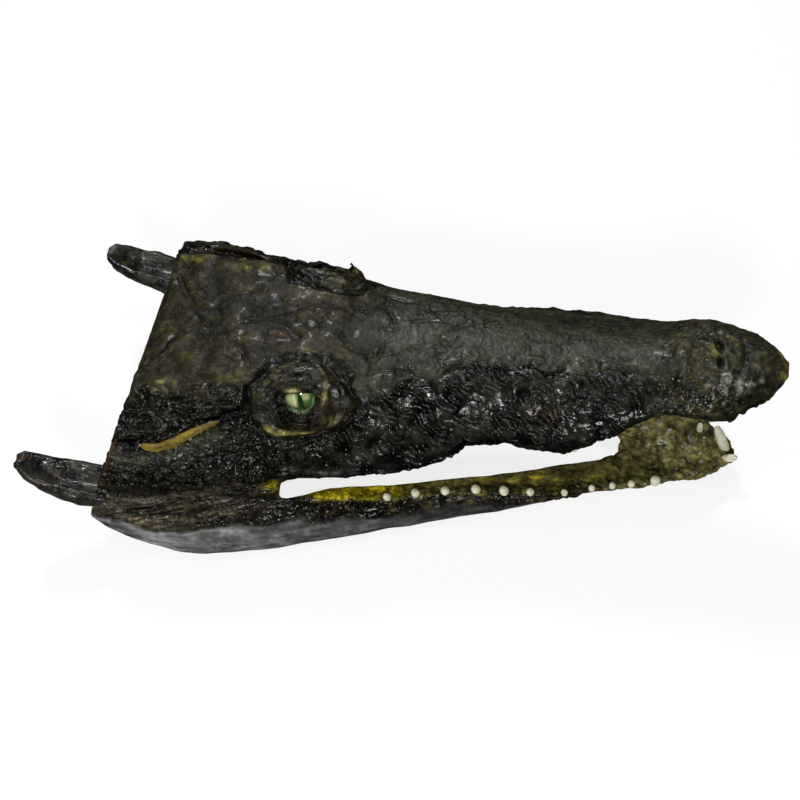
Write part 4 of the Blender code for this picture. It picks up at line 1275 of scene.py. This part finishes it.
def greenGlass():
    s = Shading("greenGlass")
    split = s.nodes.new("ShaderNodeSeparateXYZ")
    s.links.new(s.painted("gaze")["Vector"], split.inputs["Vector"])
    ahead, up = split.outputs["X"], split.outputs["Y"]

    def oval(x, y, half, tall, power=2.0):
        across = s.maths("ABSOLUTE", s.maths("DIVIDE", s.maths("SUBTRACT", ahead, x), half))
        above = s.maths("ABSOLUTE", s.maths("DIVIDE", s.maths("SUBTRACT", up, y), tall))
        return s.maths("ADD", s.maths("POWER", across, power), s.maths("POWER", above, 2.0))

    reach = s.maths("SQRT", oval(*glassEye["irisMiddle"], 1.0, 1.0))
    turn = s.maths("ARCTAN2", s.maths("SUBTRACT", up, glassEye["irisMiddle"][1]),
                   s.maths("SUBTRACT", ahead, glassEye["irisMiddle"][0]))
    comb = s.nodes.new("ShaderNodeCombineXYZ")
    s.feed(comb.inputs["X"], s.maths("MULTIPLY", turn, 7.0))
    s.feed(comb.inputs["Y"], s.maths("MULTIPLY", reach, 1.5))
    rays = s.nodes.new("ShaderNodeTexNoise")
    rays.inputs["Scale"].default_value = 2.5
    rays.inputs["Detail"].default_value = 4.0
    s.links.new(comb.outputs["Vector"], rays.inputs["Vector"])
    brighter = tuple(c * glassEye["rays"] for c in glassEye["iris"])
    iris = s.mix(s.between(rays.outputs["Fac"], 0.35, 0.65), glassEye["iris"], brighter)
    iris = s.mix(s.between(up, -0.2, -0.5), iris, glassEye["low"])
    for patch in glassEye["palePatches"]:
        iris = s.mix(s.between(oval(*patch), 0.15, 1.2, 1.0, 0.0), iris, glassEye["pale"])
    iris = s.mix(s.between(reach, 0.60, 0.76), iris, glassEye["irisEdge"])
    front = s.maths("MULTIPLY", s.between(ahead, 0.60, 0.72), s.between(up, -0.6, -0.3))
    iris = s.mix(front, iris, glassEye["front"])
    edge = s.maths("ABSOLUTE", s.maths("SUBTRACT", s.maths("SQRT", oval(*glassEye["ringOval"])), 1.0))
    band = s.maths("MULTIPLY", s.between(edge, 0.03, 0.09, 1.0, 0.0), s.between(up, -0.2, 0.0, 1.0, 0.0))
    iris = s.mix(s.maths("MULTIPLY", band, 0.85), iris, glassEye["ring"])
    slit = oval(*glassEye["pupilMiddle"], *glassEye["pupilHalf"], 1.4)
    colour = s.mix(s.between(slit, 0.7, 1.3, 1.0, 0.0), iris, glassEye["pupil"])
    # painted highlight streak on the glass
    highlightStreak = oval(*glassEye["highlightStreakOval"])
    colour = s.mix(s.between(highlightStreak, 0.4, 1.2, 1.0, 0.0), colour, glassEye["highlightStreak"])
    return s.finish(colour, 0.03, None, Coat_Weight=0.6, Coat_Roughness=0.02)


def makeEye(side, material):
    name = glassEye["nodes"][side]
    centre, directions = eyePlaceOf(side)
    radius = (eyePlace["radius"] - glassEye["gap"]) * mm
    deselectAll()
    bpy.ops.mesh.primitive_uv_sphere_add(segments=64, ring_count=40, radius=1.0)
    eye = bpy.context.object
    eye.name = "glass_" + name
    local = readPoints(eye)
    addVector(eye, "gaze", local)
    writePoints(eye, local * radius @ directions + np.array(centre))
    faceOutwards(eye)
    bpy.ops.object.shade_smooth()
    eye.data.materials.append(material)
    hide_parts(name)
    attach(eye, "root")


eyeGlass = greenGlass()
for side in (-1, 1):
    makeEye(side, eyeGlass)
print("eyes are in")

# Ear flaps: worn strips, the far one lower, flatter and darker as painted shade
earStrip = {
    "nodes": {-1: "ear_flap_right", 1: "ear_flap_left"},
    # S-shaped run from behind to the front: (X, from the middle, Z, half height, half thickness)
    "run": ((-3.5, 79.5, 41.0, 2.0, 1.5), (1.0, 80.2, 39.6, 3.2, 2.0), (9.0, 80.0, 38.8, 3.8, 2.4),
            (18.8, 77.0, 40.2, 3.7, 2.4), (31.6, 71.6, 44.2, 3.2, 2.2), (42, 67.0, 46.0, 2.4, 1.8),
            (47.5, 64.0, 45.4, 1.4, 1.2)),
    "farIn": 1.6,
    "farDown": 2.5,
    "farPaintedShade": 0.22,
    "farShade": 0.3,
    "dark": (0.10, 0.070, 0.008),
    "light": (0.27, 0.20, 0.018),
    "stain": (0.03, 0.022, 0.01),
    "unworn": (0.25, 0.16, 0.2),  # share of the colour left at the dark ends
}


def wornOchre():
    s = Shading("wornOchre")
    cloud = s.noise(5, 3.0, (0.4, 1.0, 1.0))
    colour = s.mix(s.between(cloud, 0.35, 0.62), earStrip["dark"], earStrip["light"])
    colour = s.mix(s.between(s.noise(1.8, 2.0), 0.62, 0.74), colour, earStrip["stain"])
    # darker ends, and painted shade all along the far strip
    colour = s.times(colour, s.painted("wearAndShade")["Color"])
    normal = s.bump(s.noise(1.4, 2.0, (0.5, 1.0, 1.0)), 0.4)
    rough = s.between(s.noise(4), 0.3, 0.7, 0.25, 0.45)
    return s.finish(colour, rough, normal, Coat_Weight=0.25, Coat_Roughness=0.15)


def makeEarFlap(side, material):
    run, far = earStrip["run"], side > 0
    deselectAll()
    bpy.ops.mesh.primitive_uv_sphere_add(segments=20, ring_count=60, radius=1.0)
    flap = bpy.context.object
    flap.name = "strip_" + earStrip["nodes"][side]
    local = readPoints(flap)
    t = np.clip((local[:, 2] + 1) / 2, 0, 1) * (len(run) - 1)
    stops = np.arange(len(run))
    x, out, z, tall, thick = [np.interp(t, stops, [r[k] for r in run]) for k in range(5)]
    if far:
        out, z = out - earStrip["farIn"], z - earStrip["farDown"]
    girth = np.sqrt(np.clip(1 - local[:, 2] ** 2, 1e-6, 1))
    spread = girth ** 0.4 / girth  # blunter ends than a ball's
    waves = 1 + 0.12 * grain(local * 12, 3.5, side * 7.0)
    places = np.stack([x, side * (out + local[:, 0] * spread * thick * waves),
                       z + local[:, 1] * spread * tall * waves], axis=1)
    writePoints(flap, np.array([fromSkull(q) for q in places]))
    # darkened towards both ends, and all along the far one as painted shade
    wearAndShade = ramp(t, 0.2, 1.3) * (1 - 0.6 * ramp(t, 4.6, 6.0)) * (earStrip["farPaintedShade"] if far else 1.0)
    colour = np.stack([dark + (1 - dark) * wearAndShade for dark in earStrip["unworn"]], axis=1)
    addColour(flap, "wearAndShade", colour * (earStrip["farShade"] if far else 1.0))
    faceOutwards(flap)
    applyModifier(flap, "SUBSURF", levels=1, render_levels=1)
    takeUp(flap)
    bpy.ops.object.shade_smooth()
    flap.data.materials.append(material)
    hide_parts(earStrip["nodes"][side])
    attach(flap, "root")


ochre = wornOchre()
for side in (-1, 1):
    makeEarFlap(side, ochre)
print("ear flaps are in")

# Bare bone: the jaws' rear ends, which reach on into the jaws' hide, and the cut back of the head
boneFinish = {
    "nodes": ("jaw_bone_end_left", "jaw_bone_end_right", "skull_back"),
    "voxel": 0.8,
    "soften": 14,
    "intoJaw": 9.0,
    "dark": (0.006, 0.007, 0.006),
    "light": (0.045, 0.045, 0.036),
    "brown": (0.10, 0.055, 0.02),
}


def varnishedBone():
    s = Shading("varnishedBone")
    colour = s.mix(s.between(s.noise(9, 3.0), 0.4, 0.65), boneFinish["dark"], boneFinish["light"])
    colour = s.mix(s.between(s.noise(5, 2.0), 0.6, 0.75), colour, boneFinish["brown"])
    height = s.maths("ADD", s.noise(2.0, 3.0, (0.35, 1.0, 1.0)), s.noise(0.9, 1.0))
    rough = s.between(s.noise(5), 0.3, 0.7, 0.10, 0.24)
    normal = s.bump(height, 0.35)
    return s.finish(colour, rough, normal, Specular_IOR_Level=0.3, Coat_Weight=0.25, Coat_Roughness=0.08)


def makeBone(node, material):
    bone = copyNodes((node,), "stained_" + node)
    applyModifier(bone, "REMESH", mode="VOXEL", voxel_size=boneFinish["voxel"] * mm)
    applyModifier(bone, "SMOOTH", factor=0.5, iterations=boneFinish["soften"])
    points, normals = readPoints(bone), readPoints(bone, "normal")
    p = points / mm
    height = 0.5 * grain(p, (16, 6, 6), 301.0) + 0.25 * grain(p, (7, 3, 3), 305.0) - 0.45
    points += normals * (height * mm)[:, None]
    if node.startswith("jaw"):
        front = points[:, 0].max()
        points[:, 0] += boneFinish["intoJaw"] * mm * ramp(points[:, 0], front - 0.009, front - 0.001)
    writePoints(bone, np.clip(points, boxLow, boxHigh))
    takeUp(bone)
    bpy.ops.object.shade_smooth()
    bone.data.materials.append(material)
    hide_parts(node)
    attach(bone, "root")


boneVarnish = varnishedBone()
for node in boneFinish["nodes"]:
    makeBone(node, boneVarnish)
print("bones are in")

# Teeth of one side: (X, distance from the middle, base radius, height), the lower ones in the jaw's
# millimetres, the upper ones in the level upper head's. The front ones have a side and a lean of their own.
teeth = {
    "lower": ((137, 64.2, 2.6, 3.6), (154, 58, 2.9, 4.0), (172, 53, 2.9, 4.0), (191, 49, 3.1, 4.2),
              (208.5, 47.2, 3.2, 4.2), (225, 46, 2.6, 3.8), (246, 43.6, 2.2, 3.4), (262.5, 38.2, 2.2, 3.4),
              (275, 34.8, 2.1, 3.4), (286.5, 32, 2.3, 3.8), (301, 28, 3.3, 5.5)),
    "upper": ((140, 62.2, 2.5, 6), (156, 58.5, 2.7, 6), (172, 53.5, 2.7, 6), (188, 46.5, 2.5, 6),
              (204, 44.4, 2.5, 6), (220, 43.7, 2.7, 7), (235, 44, 3.1, 8), (251, 43.2, 3.7, 9),
              (266, 39.5, 2.9, 7), (280, 33.2, 2.5, 6), (316, 23.2, 2.3, 5), (327, 23.2, 2.9, 7),
              (338, 22.5, 2.9, 7), (349, 15.6, 2.3, 5)),
    "front": ((342, 5.0, 3.4, 20, (-0.35, 0.1, 1.0)), (344, -4.0, 2.6, 7, (0.9, -0.1, 0.5)),
              (326.4, 14.7, 2.1, 7, (0.0, 0.15, 1.0))),
    "underGum": 2.5,
    "lean": 0.28,
    "frontFoot": 19.0,
    "sides": 12,
    "steps": ((0.86, 0.21), (0.6, 0.18), (0.3, 0.084)),  # radius, and rise over the step before
    "dark": (0.60, 0.57, 0.40),
    "light": (0.85, 0.83, 0.70),
}


def toothEnamel():
    s = Shading("toothEnamel")
    colour = s.mix(s.between(s.noise(3, 2.0), 0.35, 0.7), teeth["dark"], teeth["light"])
    normal = s.bump(s.noise(1.2, 2.0), 0.15)
    rough = s.between(s.noise(2.5), 0.3, 0.7, 0.28, 0.5)
    return s.finish(colour, rough, normal, Coat_Weight=0.2, Coat_Roughness=0.2)


def makeTooth():
    # one blunt peg, 1 in radius: its tip stands 1 over the origin, and its foot goes on half as far under it
    deselectAll()
    bpy.ops.mesh.primitive_cylinder_add(vertices=teeth["sides"], radius=1.0, depth=1.0)
    tooth = bpy.context.object
    pickFaces(tooth, [face.normal.z > 0.9 for face in tooth.data.polygons])
    before = 1.0
    for wide, rise in teeth["steps"]:
        bpy.ops.mesh.extrude_region_move(TRANSFORM_OT_translate={"value": (0, 0, rise)})
        bpy.ops.transform.resize(value=(wide / before, wide / before, 1), center_override=(0, 0, 0))
        before = wide
    bpy.ops.object.mode_set(mode="OBJECT")
    points = readPoints(tooth)
    points[:, 2] /= points[:, 2].max()
    writePoints(tooth, points)
    # the worn rings between foot and tip keep their edges
    rings = (points[:, 2] > points[:, 2].min() + 0.01) & (points[:, 2] < 0.99)
    ends = np.array([list(edge.vertices) for edge in tooth.data.edges])
    level = rings[ends].all(axis=1) & (np.ptp(points[ends, 2], axis=1) < 0.01)
    crease = tooth.data.attributes.new("crease_edge", "FLOAT", "EDGE")
    crease.data.foreach_set("value", level.astype(np.float32))
    applyModifier(tooth, "SUBSURF", levels=2, render_levels=2)
    return tooth


def placeTeeth(pattern, places, title, material):
    # each place: foot and tip in the frame's metres, radius in metres
    copies = []
    for foot, tip, radius in places:
        copy, run = copyOf(pattern), tip - foot
        size = Matrix.Diagonal((radius, radius, run.length, 1.0))
        copy.matrix_world = Matrix.Translation(foot) @ run.to_track_quat("Z", "Y").to_matrix().to_4x4() @ size
        copies.append(copy)
    row = joinPieces(copies)
    row.name = title
    setInPlace(row)
    bpy.ops.object.shade_smooth()
    row.data.materials.append(material)
    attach(row, "root")


def lowerPlaces():
    places = []
    shift = Vector(headPlace["jawShift"])
    for side in (-1, 1):
        for x, y, radius, height in teeth["lower"]:
            foot = Vector((x, side * y, float(follow(x, gumLine)) - teeth["underGum"]))
            lean = Vector((0, side * teeth["lean"], 1.0)).normalized()
            tip = foot + lean * (height + teeth["underGum"])
            places.append(((foot + shift) * mm, (tip + shift) * mm, radius * mm))
    for x, y, radius, height, lean in teeth["front"]:
        foot = Vector((x, y, teeth["frontFoot"]))
        tip = foot + Vector(lean).normalized() * height
        places.append(((foot + shift) * mm, (tip + shift) * mm, radius * mm))
    return places


def upperPlaces():
    places = []
    for side in (-1, 1):
        for x, y, radius, height in teeth["upper"]:
            lip = float(follow(x, lipEdge))
            foot = fromSkull((x, side * (y - 2), lip + 4))
            tip = fromSkull((x, side * (y - 1.5), lip + 1 - 0.75 * height))
            places.append((foot, tip, radius * mm))
    return places


enamel = toothEnamel()
peg = makeTooth()
placeTeeth(peg, lowerPlaces(), "teeth_lower", enamel)
placeTeeth(peg, upperPlaces(), "teeth_upper", enamel)
bpy.data.objects.remove(peg)
print("teeth are in")
